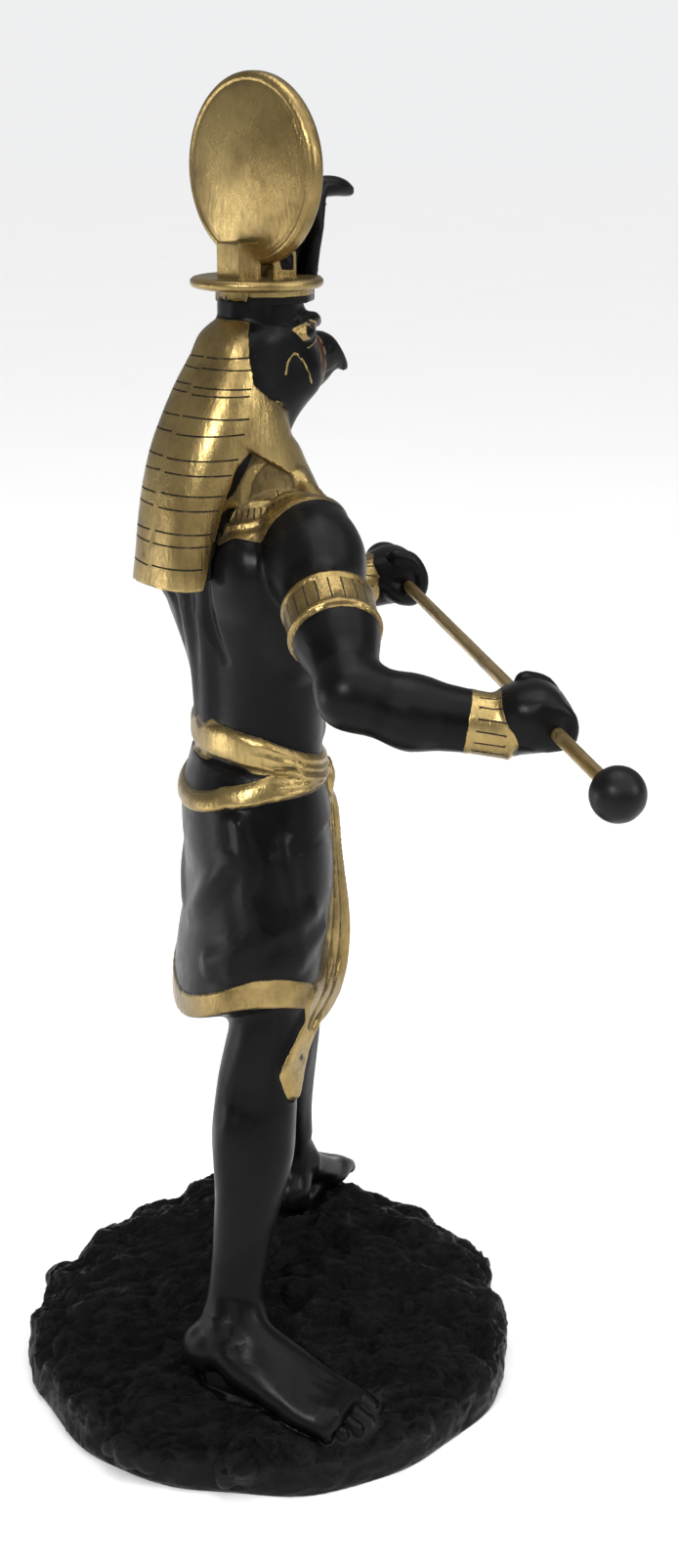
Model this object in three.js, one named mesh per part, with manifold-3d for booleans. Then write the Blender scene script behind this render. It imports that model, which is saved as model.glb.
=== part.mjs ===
// Falcon-headed guardian in ancient Egyptian style: one resin casting on a rocky mound,
// with a slim rod and two end balls held in its fists.
// Millimetres, +Z up. The origin is the centre of the mound's underside.
// The hips face -Y, +X is the figure's left, and the rod lies level along X.
import * as THREE from 'three';
import { mergeVertices } from 'three/addons/utils/BufferGeometryUtils.js';
import Module from 'manifold-3d';

// Driving dimensions
const statueHeight = 412;
const moundDiameter = 160;
const moundHeight = 20;
const rodDiameter = 3.9;
const rodSpan = 275;
const rodHeight = 247.2;
const rodForward = 61.4;
const rodMiddle = -24.4;
const rightGrip = 95.5;
const leftGrip = 78;
const ballDiameter = 14.2;
const ballSocketDepth = 8;
const clearance = 0.3;

// Fineness of the figure: the grid that it is modelled on, and the triangles it is brought down to
const modelStep = 2.8;
const figureTriangles = 8200;

// The rod is held in bores that stand clear of it all round, and its ends sit in blind sockets in the balls.
const rodLength = rodSpan - 2 * ballDiameter + 2 * ballSocketDepth;
const boreSides = 12;
const boreRadius = (rodDiameter / 2 + clearance) / Math.cos(Math.PI / boreSides);

// The pose is laid out on a figure of poseHeight units, from the rock to the top of the disc.
const poseHeight = 392;
const unit = (statueHeight - moundHeight) / poseHeight;

// Turn of each part of the body to its left, in degrees
const headTurn = 30;
const discTurn = 33;
const chestTurn = 24;

// A point of the pose: x to the figure's left, y to its back, z above the rock
const at = (x, y, z) => new THREE.Vector3(x * unit, y * unit, moundHeight + z * unit);

// A point of the pose given on a turned part of the body
function turned(degrees, left, forward, z) {
  const a = THREE.MathUtils.degToRad(degrees);
  return at(left * Math.cos(a) + forward * Math.sin(a), left * Math.sin(a) - forward * Math.cos(a), z);
}
const onHead = (left, forward, z) => turned(headTurn, left, forward, z);
const onChest = (left, forward, z) => turned(chestTurn, left, forward, z);

// Shapes are distance functions: negative inside, with the box that holds them.
function shape(distance, ...reach) {
  const box = new THREE.Box3();
  for (const [point, radius] of reach) {
    box.union(new THREE.Box3(point.clone().subScalar(radius), point.clone().addScalar(radius)));
  }
  return { distance, box };
}

// A round bar that runs from one point to the other and tapers between its two radii
function bar(from, to, radiusFrom, radiusTo = radiusFrom) {
  const start = radiusFrom * unit;
  const end = radiusTo * unit;
  const along = to.clone().sub(from);
  const lengthSquared = along.lengthSq();
  const distance = (x, y, z) => {
    const px = x - from.x;
    const py = y - from.y;
    const pz = z - from.z;
    const t = Math.min(1, Math.max(0, (px * along.x + py * along.y + pz * along.z) / lengthSquared));
    return Math.hypot(px - t * along.x, py - t * along.y, pz - t * along.z) - start - t * (end - start);
  };
  return shape(distance, [from, start], [to, end]);
}

// Turns a point into the axes of a shape that is yawed, pitched and rolled
function inFrame(centre, yaw, pitch, roll) {
  const angles = [pitch, roll, yaw].map(THREE.MathUtils.degToRad);
  const euler = new THREE.Euler(angles[0], angles[1], angles[2], 'ZXY');
  const e = new THREE.Matrix4().makeRotationFromEuler(euler).elements;
  return (x, y, z, out) => {
    const px = x - centre.x;
    const py = y - centre.y;
    const pz = z - centre.z;
    out[0] = e[0] * px + e[1] * py + e[2] * pz;
    out[1] = e[4] * px + e[5] * py + e[6] * pz;
    out[2] = e[8] * px + e[9] * py + e[10] * pz;
  };
}

// An ellipsoid with three half lengths
function egg(centre, halves, yaw = 0, pitch = 0, roll = 0) {
  const [a, b, c] = halves.map((half) => half * unit);
  const local = inFrame(centre, yaw, pitch, roll);
  const p = [0, 0, 0];
  const distance = (x, y, z) => {
    local(x, y, z, p);
    const near = Math.hypot(p[0] / a, p[1] / b, p[2] / c);
    const slope = Math.hypot(p[0] / (a * a), p[1] / (b * b), p[2] / (c * c));
    return slope > 0 ? (near * (near - 1)) / slope : -Math.min(a, b, c);
  };
  return shape(distance, [centre, Math.max(a, b, c)]);
}

// A box with rounded edges
function block(centre, halves, edge, yaw = 0, pitch = 0, roll = 0) {
  const [a, b, c] = halves.map((half) => (half - edge) * unit);
  const local = inFrame(centre, yaw, pitch, roll);
  const p = [0, 0, 0];
  const distance = (x, y, z) => {
    local(x, y, z, p);
    const dx = Math.abs(p[0]) - a;
    const dy = Math.abs(p[1]) - b;
    const dz = Math.abs(p[2]) - c;
    const outside = Math.hypot(Math.max(dx, 0), Math.max(dy, 0), Math.max(dz, 0));
    return outside + Math.min(Math.max(dx, dy, dz), 0) - edge * unit;
  };
  return shape(distance, [centre, Math.hypot(...halves) * unit]);
}

// A flat round plate or drum with rounded edges and its axis along a direction
function puck(centre, axis, radius, halfThickness, edge) {
  const n = axis.clone().normalize();
  const rim = (radius - edge) * unit;
  const half = (halfThickness - edge) * unit;
  const distance = (x, y, z) => {
    const px = x - centre.x;
    const py = y - centre.y;
    const pz = z - centre.z;
    const rise = px * n.x + py * n.y + pz * n.z;
    const out = Math.sqrt(Math.max(0, px * px + py * py + pz * pz - rise * rise)) - rim;
    const up = Math.abs(rise) - half;
    return Math.hypot(Math.max(out, 0), Math.max(up, 0)) + Math.min(Math.max(out, up), 0) - edge * unit;
  };
  return shape(distance, [centre, Math.hypot(radius, halfThickness) * unit]);
}

// A smooth value through rows of numbers, where the first number of each row is its height
function smoothRow(rows, height) {
  const last = rows.length - 1;
  if (height <= rows[0][0]) return rows[0];
  if (height >= rows[last][0]) return rows[last];
  let i = 0;
  while (rows[i + 1][0] < height) i++;
  const span = rows[i + 1][0] - rows[i][0];
  const t = (height - rows[i][0]) / span;
  const slope = (j, k) => {
    const low = rows[Math.max(0, j - 1)];
    const high = rows[Math.min(last, j + 1)];
    return ((high[k] - low[k]) / (high[0] - low[0])) * span;
  };
  return rows[i].map((value, k) => {
    if (k === 0) return height;
    const h00 = 2 * t ** 3 - 3 * t ** 2 + 1;
    const h10 = t ** 3 - 2 * t ** 2 + t;
    const h01 = -2 * t ** 3 + 3 * t ** 2;
    const h11 = t ** 3 - t ** 2;
    return h00 * value + h10 * slope(i, k) + h01 * rows[i + 1][k] + h11 * slope(i + 1, k);
  });
}

// How far the corners of a squared oval reach, against its longer half
const cornerReach = 1.2;

// A standing form of stacked oval sections. Each row is height, left, back, half width, half depth, turn.
function column(rows, power) {
  const step = 1;
  const bottom = rows[0][0];
  const top = rows[rows.length - 1][0];
  const levels = [];
  for (let height = bottom; height <= top + step; height += step) levels.push(smoothRow(rows, height));
  const distance = (x, y, z) => {
    const height = (z - moundHeight) / unit;
    const level = Math.min(levels.length - 1.001, Math.max(0, (height - bottom) / step));
    const low = Math.floor(level);
    const share = level - low;
    const mix = (k) => levels[low][k] * (1 - share) + levels[low + 1][k] * share;
    const turn = THREE.MathUtils.degToRad(mix(5));
    const px = x / unit - mix(1);
    const py = y / unit - mix(2);
    const side = Math.abs(px * Math.cos(turn) + py * Math.sin(turn));
    const depth = Math.abs(-px * Math.sin(turn) + py * Math.cos(turn));
    const reach = Math.hypot(side, depth);
    const ratio = ((side / mix(3)) ** power + (depth / mix(4)) ** power) ** (1 / power);
    const flat = ratio > 0 ? reach * (1 - 1 / ratio) : -mix(4);
    return Math.max(flat, height - top, bottom - height) * unit;
  };
  const reach = rows.map(([height, left, back, width, depth]) => {
    return [at(left, back, height), Math.max(width, depth) * cornerReach * unit];
  });
  return shape(distance, ...reach);
}

// Rows of height, forward, half width, half depth and turn as rows of a column on a turned part
function turnedRows(rows) {
  return rows.map(([height, forward, width, depth, turn = headTurn]) => {
    const a = THREE.MathUtils.degToRad(turn);
    return [height, forward * Math.sin(a), -forward * Math.cos(a), width, depth, turn];
  });
}

// How far forward on the head a place is, in units of the pose
function forwardOnHead(x, y) {
  const a = THREE.MathUtils.degToRad(headTurn);
  return (x * Math.sin(a) - y * Math.cos(a)) / unit;
}

// A column laid forward on the head. Each row is forward, height, half width, half height.
function laidForward(rows, power) {
  const a = THREE.MathUtils.degToRad(headTurn);
  const stood = rows.map(([forward, height, width, tall]) => [forward, 0, height, width, tall, 0]);
  const standing = column(stood, power);
  const distance = (x, y, z) => {
    const left = x * Math.cos(a) + y * Math.sin(a);
    return standing.distance(left, z - moundHeight, moundHeight + forwardOnHead(x, y) * unit);
  };
  const reach = rows.map((row) => [onHead(0, row[0], row[1]), Math.max(row[2], row[3]) * cornerReach * unit]);
  return shape(distance, ...reach);
}

// Points spread evenly along a line of points
function spread(points, steps) {
  const line = [];
  for (let i = 0; i + 1 < points.length; i++) {
    for (let step = 0; step < steps; step++) line.push(points[i].clone().lerp(points[i + 1], step / steps));
  }
  line.push(points[points.length - 1]);
  return line;
}

// A strap between two edges, as thick as a thin roll
function ribbon(first, second, radius, steps) {
  const far = spread(second, steps);
  return together(...spread(first, steps).map((point, i) => bar(point, far[i], radius)));
}

// A round strand through points, with a radius at each of them
function strand(points, radii) {
  return together(...points.slice(1).map((point, i) => bar(points[i], point, radii[i], radii[i + 1])));
}

// The smaller of several shapes as one shape
function together(...parts) {
  const box = new THREE.Box3();
  for (const part of parts) box.union(part.box);
  const distance = (x, y, z) => Math.min(...parts.map((part) => part.distance(x, y, z)));
  return { distance, box };
}

// The clay: a grid of distances that shapes are joined to and carved from
class Clay {
  constructor(box, cell) {
    this.cell = cell;
    this.size = ['x', 'y', 'z'].map((axis) => Math.ceil((box.max[axis] - box.min[axis]) / cell) + 2);
    const startZ = -(Math.ceil(-box.min.z / cell) + 0.5) * cell;
    this.start = [box.min.x, box.min.y, startZ];
    this.values = new Float32Array(this.size[0] * this.size[1] * this.size[2]).fill(20 * cell);
  }

  // Runs a change over the grid points of a box
  each(box, margin, change) {
    const [nx, ny, nz] = this.size;
    const low = ['x', 'y', 'z'].map((axis, i) =>
      Math.max(0, Math.floor((box.min[axis] - margin - this.start[i]) / this.cell)));
    const high = ['x', 'y', 'z'].map((axis, i) =>
      Math.min(this.size[i] - 1, Math.ceil((box.max[axis] + margin - this.start[i]) / this.cell)));
    for (let k = low[2]; k <= Math.min(high[2], nz - 1); k++) {
      const z = this.start[2] + k * this.cell;
      for (let j = low[1]; j <= Math.min(high[1], ny - 1); j++) {
        const y = this.start[1] + j * this.cell;
        for (let i = low[0]; i <= high[0]; i++) {
          const index = i + nx * (j + ny * k);
          this.values[index] = change(this.values[index], this.start[0] + i * this.cell, y, z);
        }
      }
    }
  }

  // Joins a shape with a soft fillet
  add(part, fillet = 0) {
    const k = Math.max(fillet * unit, 1e-6);
    this.each(part.box, k + 2 * this.cell, (old, x, y, z) => {
      const made = part.distance(x, y, z);
      const h = Math.max(k - Math.abs(old - made), 0) / k;
      return Math.min(old, made) - (h * h * k) / 4;
    });
  }

  // Carves a shape away with a soft edge
  cut(part, fillet = 0) {
    const k = Math.max(fillet * unit, 1e-6);
    this.each(part.box, k + 2 * this.cell, (old, x, y, z) => {
      const made = -part.distance(x, y, z);
      const h = Math.max(k - Math.abs(old - made), 0) / k;
      return Math.max(old, made) + (h * h * k) / 4;
    });
  }
}

// The skin of the clay: each grid cell is split into six tetrahedra, so the mesh is always closed.
function skinOf(clay) {
  const { values, start, cell } = clay;
  const [nx, ny, nz] = clay.size;
  const corner = [0, 1, nx, nx + 1, nx * ny, nx * ny + 1, nx * ny + nx, nx * ny + nx + 1];
  const tetrahedra = [[0, 1, 3, 7], [0, 3, 2, 7], [0, 2, 6, 7], [0, 6, 4, 7], [0, 4, 5, 7], [0, 5, 1, 7]];
  const positions = [];
  const triangles = [];
  const known = new Map();
  const place = (index) => [
    start[0] + (index % nx) * cell,
    start[1] + (Math.floor(index / nx) % ny) * cell,
    start[2] + Math.floor(index / (nx * ny)) * cell,
  ];
  const crossing = (a, b) => {
    const key = Math.min(a, b) * values.length + Math.max(a, b);
    if (known.has(key)) return known.get(key);
    const t = Math.min(0.98, Math.max(0.02, values[a] / (values[a] - values[b])));
    const pa = place(a);
    const pb = place(b);
    known.set(key, positions.length / 3);
    positions.push(...pa.map((value, i) => value + t * (pb[i] - value)));
    return known.get(key);
  };
  for (let k = 0; k < nz - 1; k++) {
    for (let j = 0; j < ny - 1; j++) {
      for (let i = 0; i < nx - 1; i++) {
        const base = i + nx * (j + ny * k);
        const inside = corner.filter((offset) => values[base + offset] < 0).length;
        if (inside === 0 || inside === 8) continue;
        for (const tetrahedron of tetrahedra) {
          const ids = tetrahedron.map((c) => base + corner[c]);
          const wet = ids.map((id) => values[id] < 0);
          const count = wet.filter(Boolean).length;
          if (count === 0 || count === 4) continue;
          if (count !== 2) {
            const lone = wet.indexOf(count === 1);
            const [a, b, c] = [0, 1, 2, 3].filter((n) => n !== lone).map((n) => crossing(ids[lone], ids[n]));
            const flip = (lone % 2 === 0) === (count === 1);
            triangles.push(...(flip ? [a, b, c] : [a, c, b]));
            continue;
          }
          const p = wet.indexOf(true);
          const q = wet.lastIndexOf(true);
          const [r, s] = [0, 1, 2, 3].filter((n) => !wet[n]);
          const pr = crossing(ids[p], ids[r]);
          const ps = crossing(ids[p], ids[s]);
          const qs = crossing(ids[q], ids[s]);
          const qr = crossing(ids[q], ids[r]);
          const even = (p + q) % 2 === 1;
          triangles.push(...(even ? [pr, qs, qr, pr, ps, qs] : [pr, qr, qs, pr, qs, ps]));
        }
      }
    }
  }
  return { positions, triangles };
}

// Joins the mesh's closest-lying points again and again, each at the least change of the surface,
// until few enough triangles are left.
function simplify(mesh, wanted) {
  const points = [];
  for (let i = 0; i < mesh.positions.length; i += 3) points.push(mesh.positions.slice(i, i + 3));
  const faces = [];
  for (let i = 0; i < mesh.triangles.length; i += 3) faces.push(mesh.triangles.slice(i, i + 3));
  const around = points.map(() => new Set());
  const quadrics = points.map(() => new Float64Array(10));
  const minus = (a, b) => [a[0] - b[0], a[1] - b[1], a[2] - b[2]];
  const cross = (a, b) => [a[1] * b[2] - a[2] * b[1], a[2] * b[0] - a[0] * b[2], a[0] * b[1] - a[1] * b[0]];
  const dot = (a, b) => a[0] * b[0] + a[1] * b[1] + a[2] * b[2];
  const normalOf = (a, b, c) => cross(minus(b, a), minus(c, a));
  faces.forEach((face, f) => {
    const [a, b, c] = face.map((v) => points[v]);
    const n = normalOf(a, b, c);
    const area = Math.hypot(...n) || 1e-12;
    const unitNormal = n.map((value) => value / area);
    const plane = [...unitNormal, -dot(unitNormal, a)];
    for (const v of face) {
      around[v].add(f);
      let slot = 0;
      for (let i = 0; i < 4; i++) {
        for (let j = i; j < 4; j++) {
          quadrics[v][slot] += area * plane[i] * plane[j];
          slot++;
        }
      }
    }
  });
  const errorAt = (q, p) => {
    const [x, y, z] = p;
    return q[0] * x * x + q[4] * y * y + q[7] * z * z + q[9]
      + 2 * (q[1] * x * y + q[2] * x * z + q[5] * y * z + q[3] * x + q[6] * y + q[8] * z);
  };
  const bestPlace = (q, a, b) => {
    const middle = [(a[0] + b[0]) / 2, (a[1] + b[1]) / 2, (a[2] + b[2]) / 2];
    const places = [a, b, middle];
    const r0 = [q[0], q[1], q[2]];
    const r1 = [q[1], q[4], q[5]];
    const r2 = [q[2], q[5], q[7]];
    const size = dot(r0, cross(r1, r2));
    const scale = q[0] + q[4] + q[7];
    if (Math.abs(size) > 1e-3 * scale ** 3) {
      const right = [-q[3], -q[6], -q[8]];
      const solved = [
        dot(right, cross(r1, r2)) / size,
        dot(r0, cross(right, r2)) / size,
        dot(r0, cross(r1, right)) / size,
      ];
      if (Math.hypot(...minus(solved, middle)) < 2 * Math.hypot(...minus(a, b))) places.push(solved);
    }
    let best = null;
    for (const place of places) {
      const reach = Math.hypot(...minus(place, middle)) ** 2;
      const cost = errorAt(q, place) + 1e-4 * scale * (reach + dot(minus(a, b), minus(a, b)));
      if (!best || cost < best.cost) best = { place, cost };
    }
    return best;
  };
  const heap = [];
  const version = new Int32Array(points.length);
  const push = (item) => {
    let i = heap.push(item) - 1;
    while (i > 0) {
      const parent = (i - 1) >> 1;
      if (heap[parent].cost <= item.cost) break;
      heap[i] = heap[parent];
      i = parent;
    }
    heap[i] = item;
  };
  const pop = () => {
    const top = heap[0];
    const item = heap.pop();
    if (heap.length === 0) return top;
    let i = 0;
    for (;;) {
      let child = 2 * i + 1;
      if (child >= heap.length) break;
      if (child + 1 < heap.length && heap[child + 1].cost < heap[child].cost) child++;
      if (heap[child].cost >= item.cost) break;
      heap[i] = heap[child];
      i = child;
    }
    heap[i] = item;
    return top;
  };
  const offer = (a, b) => {
    const q = quadrics[a].map((value, i) => value + quadrics[b][i]);
    push({ ...bestPlace(q, points[a], points[b]), a, b, madeA: version[a], madeB: version[b] });
  };
  const neighbours = (v) => {
    const found = new Set();
    for (const f of around[v]) {
      for (const w of faces[f]) {
        if (w !== v) found.add(w);
      }
    }
    return found;
  };
  for (const face of faces) {
    for (let i = 0; i < 3; i++) {
      const next = face[(i + 1) % 3];
      if (face[i] < next) offer(face[i], next);
    }
  }
  const turnsOver = (v, other, place) => {
    for (const f of around[v]) {
      if (faces[f].includes(other)) continue;
      const old = faces[f].map((w) => points[w]);
      const made = faces[f].map((w) => (w === v ? place : points[w]));
      const before = normalOf(...old);
      const after = normalOf(...made);
      const size = Math.hypot(...after);
      const longest = Math.max(...made.map((p, i) => Math.hypot(...minus(p, made[(i + 1) % 3]))));
      if (dot(before, after) < 0.3 * Math.hypot(...before) * size) return true;
      if (size < 0.04 * longest * longest) return true;
    }
    return false;
  };
  let count = faces.length;
  while (count > wanted && heap.length > 0) {
    const { a, b, place, madeA, madeB } = pop();
    if (madeA !== version[a] || madeB !== version[b]) continue;
    const nearB = neighbours(b);
    const shared = [...neighbours(a)].filter((v) => nearB.has(v));
    if (shared.length !== 2) continue;
    if (turnsOver(a, b, place) || turnsOver(b, a, place)) continue;
    points[a] = place;
    quadrics[a] = quadrics[a].map((value, i) => value + quadrics[b][i]);
    for (const f of [...around[b]]) {
      if (faces[f].includes(a)) {
        for (const v of faces[f]) around[v].delete(f);
        faces[f] = null;
        count--;
        continue;
      }
      faces[f] = faces[f].map((v) => (v === b ? a : v));
      around[a].add(f);
    }
    around[b].clear();
    version[b]++;
    version[a]++;
    for (const v of neighbours(a)) offer(a, v);
  }
  const kept = new Map();
  const positions = [];
  const triangles = [];
  for (const face of faces) {
    if (!face) continue;
    for (const v of face) {
      if (!kept.has(v)) {
        kept.set(v, positions.length / 3);
        positions.push(...points[v]);
      }
      triangles.push(kept.get(v));
    }
  }
  return { positions, triangles };
}

// The trunk, from the hips to the root of the neck. The rows of a column are height, left, back,
// half width, half depth and turn.
const trunkRows = [
  [176, 0, 1.4, 28.5, 21.5, 3],
  [190, 0, 1.2, 26, 18.6, 7],
  [203, 0, 0.9, 25, 17.8, 11],
  [220, -0.6, 1.4, 28, 18.2, 17],
  [236, -1.4, 3.2, 33, 19.4, 22],
  [250, -2, 4.8, 35.6, 20.8, 24],
  [262, -2.2, 5, 33.5, 19, 24],
  [271, -2, 4.6, 25, 15, 24],
  [280, -1.8, 4, 14, 11, 26],
  [290, -1.8, 3.4, 9.5, 9.5, 28],
];

// The short kilt, from its hem to the belt
const kiltRows = [
  [104, 0, 7.2, 40.4, 21.8, 0],
  [122, 0, 6.2, 39.4, 21.8, 0],
  [133, 0, 4.6, 38.2, 22, 0],
  [143, 0, 3, 37, 21.8, 0],
  [156, 0, 1.7, 35.6, 22.3, 0],
  [171, 0, 2.6, 33.2, 22.2, 1],
  [182, 0, 3.4, 30.6, 20.8, 2],
  [194, 0, 2.4, 26.6, 18.4, 5],
];

// The kilt's hem: its height at the front and back, how far it rises to the sides, and its band
const hemHeight = 111;
const hemRise = 14.5;
const hemReach = 40;
const hemBand = 7.7;
const hemAt = (x) => hemHeight + hemRise * (x / (hemReach * unit)) ** 2;

// The sash that falls from the belt and swings over the right thigh: its outer and front edges
const sashRows = [
  [-4, -17.5, 183, 1, -18.5, 183],
  [-8, -18.9, 162.1, -3, -23.1, 160],
  [-13, -16.3, 137.4, -7, -24.8, 134.3],
  [-20, -13, 121.4, -15, -20.8, 118],
  [-25, -9.4, 114.5, -21, -15, 111.4],
  [-31, -6, 110.5, -26.5, -10.6, 106.5],
  [-36.5, -2.4, 106.5, -31.3, -7.4, 102],
  [-38.4, -1.4, 97, -35.6, -4.6, 95.4],
];

// The headcloth's flat tail behind the shoulders, and the wings that come forward over them. The rows
// of a turned column are height, forward, half width, half depth and turn.
const tailRows = turnedRows([
  [251, -30.2, 15.4, 9.3, 25],
  [260, -27.6, 15.8, 10.8, 25.5],
  [268, -25.2, 16.3, 12.4, 26],
  [280, -21.4, 17, 14, 27],
  [290, -17.2, 17.4, 15.2, 28],
  [297.8, -14.8, 16.8, 14, 29],
  [303.3, -13.6, 15.8, 12.4, 29.5],
  [308, -12.3, 14.6, 11.2],
  [314.3, -8.9, 13.4, 10.5],
  [321.3, -5.5, 11.5, 10],
  [327.5, -1.5, 6, 6],
]);
const wingRows = turnedRows([
  [269, -11, 20, 30, 27],
  [276.5, -11.5, 19.2, 27.3, 28],
  [283, -12, 18.4, 24, 29],
  [289, -12.5, 17.8, 21],
  [295, -12.5, 17, 17.6],
  [299, -12, 16.4, 15.6],
  [303, -11, 15.4, 12],
]);

// The cloth's border on the face: height and how far forward it comes
const faceBorder = [
  [299.4, 0.5],
  [301, -2.5],
  [304.5, -9],
  [308, -13],
  [315, -13],
  [321.3, -12],
  [325, -9],
  [328, -7],
];

// The line below which the wings are cut away: its highest point and its fall for each unit forward
const wingApex = { forward: -16, height: 289.6, slope: 0.573 };

// The falcon's skull, the beak laid forward, the cobra's hood, and its head laid forward
const skullRows = turnedRows([
  [287, -2, 8, 9],
  [296, 0.4, 8.8, 11.4],
  [300, 1.2, 10.2, 14],
  [304, 0.5, 11.8, 17],
  [309, 0.2, 12.6, 17.8],
  [315, 0.2, 13, 17.8],
  [321, 1.2, 12.6, 15.8],
  [325, 2.4, 11.2, 12],
  [329, 2, 10.5, 10.5],
]);
const beakRows = [
  [10, 310, 9, 9.5],
  [19, 310.4, 6.6, 9.2],
  [25.1, 311.6, 4.6, 7.2],
  [27.8, 312, 3.7, 5.5],
  [30.6, 311, 3, 3.8],
  [34.3, 308, 1.6, 1.6],
];
const hoodRows = turnedRows([
  [334, 17.5, 4.6, 3.2],
  [342, 18.4, 5.4, 2.9],
  [349, 19.2, 6.4, 2.9],
  [354, 20.7, 5.2, 2.9],
  [361.5, 24, 3, 2.8],
]);
const snakeRows = [
  [22, 359.6, 3, 2.9],
  [28, 360.2, 3.7, 3],
  [33.5, 359.4, 2.8, 2.4],
  [36, 358.6, 1.9, 1.7],
];

// Each leg from hip to ankle, its knee, and its foot. A foot's heel and toes are places on the ground,
// its soles the heights of the rock there, and its size is against a foot of full length.
const legs = {
  right: {
    side: -1,
    knee: 98,
    rows: [
      [20, -41.2, 17.8, 7.2, 9.4, -28],
      [29.2, -40.1, 16.8, 7, 8.8, -24],
      [39.6, -38.5, 15.1, 7.6, 8.9, -20],
      [50.3, -36.9, 13.5, 9, 9.5, -18],
      [60.6, -35.3, 11.5, 10.4, 10.7, -16],
      [73, -33.3, 9.8, 11, 12.5, -14],
      [91.7, -30.4, 8.2, 10.3, 12.6, -11],
      [107, -28, 6.3, 11.6, 11.1, -8],
      [140, -22, 3, 14, 13.5, -4],
      [168, -17, 2, 15, 15, 0],
    ],
    foot: { heel: [-39.5, 26.5], toes: [-73.8, -19], soles: [2.2, -7.6], ankle: at(-41, 17.8, 22), size: 1 },
  },
  left: {
    side: 1,
    knee: 100,
    rows: [
      [30, 38.2, -15.6, 6.5, 7.3, 38],
      [40, 37, -14, 6.8, 7.3, 30],
      [50, 35.5, -12.4, 7.8, 7.9, 22],
      [60, 34, -11.4, 9.2, 9, 18],
      [72, 32, -11, 10.4, 10.1, 16],
      [85, 30.5, -11.6, 10.4, 10.9, 14],
      [98, 29, -12.2, 10.2, 10.9, 12],
      [120, 25, -10.5, 12, 11.5, 8],
      [140, 21, -6, 14, 13.5, 4],
      [168, 17, -2, 15, 15, 0],
    ],
    foot: { heel: [31, -13], toes: [66, -34.5], soles: [14.6, 8.8], ankle: at(38.2, -16.2, 31), size: 0.78 },
  },
};

// Each arm's shoulder, elbow and grip on the rod
const gripAt = (x) => new THREE.Vector3(x, -rodForward, rodHeight);
const arms = {
  right: { side: -1, shoulder: at(-31, -10, 263.5), elbow: at(-83, -11, 234.5), fist: gripAt(-rightGrip) },
  left: { side: 1, shoulder: at(32, 10.5, 263.5), elbow: at(70, -14, 238), fist: gripAt(leftGrip) },
};

// The rock mound: a low dome with a rounded rim and wavy ridges that run outward, and a hump under
// the left foot
const hump = { x: 50, y: -15, height: 9.5, spread: 28 };

function mound() {
  const rim = moundDiameter / 2;
  const distance = (x, y, z) => {
    const reach = Math.hypot(x, y);
    const angle = Math.atan2(y, x);
    const wave = Math.sin(7 * angle + 0.05 * reach) + 0.6 * Math.sin(13 * angle - 0.09 * reach);
    const share = Math.min(1, reach / rim);
    const dome = 0.68 + 0.66 * Math.sqrt(1 - share * share);
    const off = Math.hypot(x - hump.x, y - hump.y) / hump.spread;
    const rise = hump.height * Math.exp(-off * off / 2) - 0.6 - (2 * Math.max(y, 0)) / rim;
    const top = moundHeight * dome + rise + 0.5 * wave;
    const side = rim + 0.8 * wave - 0.012 * (z - moundHeight * 0.3) ** 2;
    const out = reach - side;
    const up = (z - top) * 0.9;
    const edge = 8;
    const soft = Math.max(edge - Math.abs(out - up), 0) / edge;
    return Math.max(Math.max(out, up) + (soft * soft * edge) / 4, -z);
  };
  return shape(distance, [new THREE.Vector3(0, 0, moundHeight), rim + 4], [new THREE.Vector3(0, 0, -2), 1]);
}

// The edge of a shin: how far below the knee, how far forward and its radius
const shinRows = [
  [10, 9, 1.6],
  [26, 8.6, 2],
  [44, 6.6, 1.8],
  [58, 5, 1.4],
];

// A leg of stacked sections with its kneecap, calf and shin
function addLeg(clay, { side, knee, rows, foot }) {
  const turn = side * 10;
  const axis = (height) => at(...smoothRow(rows, height).slice(1, 3), height);
  const off = (height, out, forward, up = 0) => {
    return axis(height).add(turned(turn, side * out, forward, 0).setZ(up * unit));
  };
  clay.add(column(rows, 2.1), 4);
  clay.add(egg(off(knee, 0, 7.2), [5.6, 4.2, 6.4], turn), 3);
  clay.add(egg(off(knee, 0, 6, 11), [6.2, 4, 6], turn), 4);
  clay.add(egg(off(knee - 22, -4, -5), [6, 6.4, 14], turn), 4);
  clay.add(egg(off(knee - 22, 4.4, -4.6), [5.6, 6.4, 15], turn), 3);
  const shin = shinRows.map(([drop, forward]) => off(knee - drop, -1.5, forward));
  clay.add(strand(shin, shinRows.map(([, , radius]) => radius)), 4);
  addFoot(clay, foot, side);
}

// The toes of a full-sized foot, the big one first: how far out each lies, its radius and where it ends
const toeSizes = [
  { out: -9.2, radius: 3.5, tip: 56 },
  { out: -4.3, radius: 2.4, tip: 57 },
  { out: 0.2, radius: 2.3, tip: 55 },
  { out: 4.5, radius: 2.2, tip: 52 },
  { out: 8.6, radius: 2.2, tip: 48.6 },
];

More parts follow.
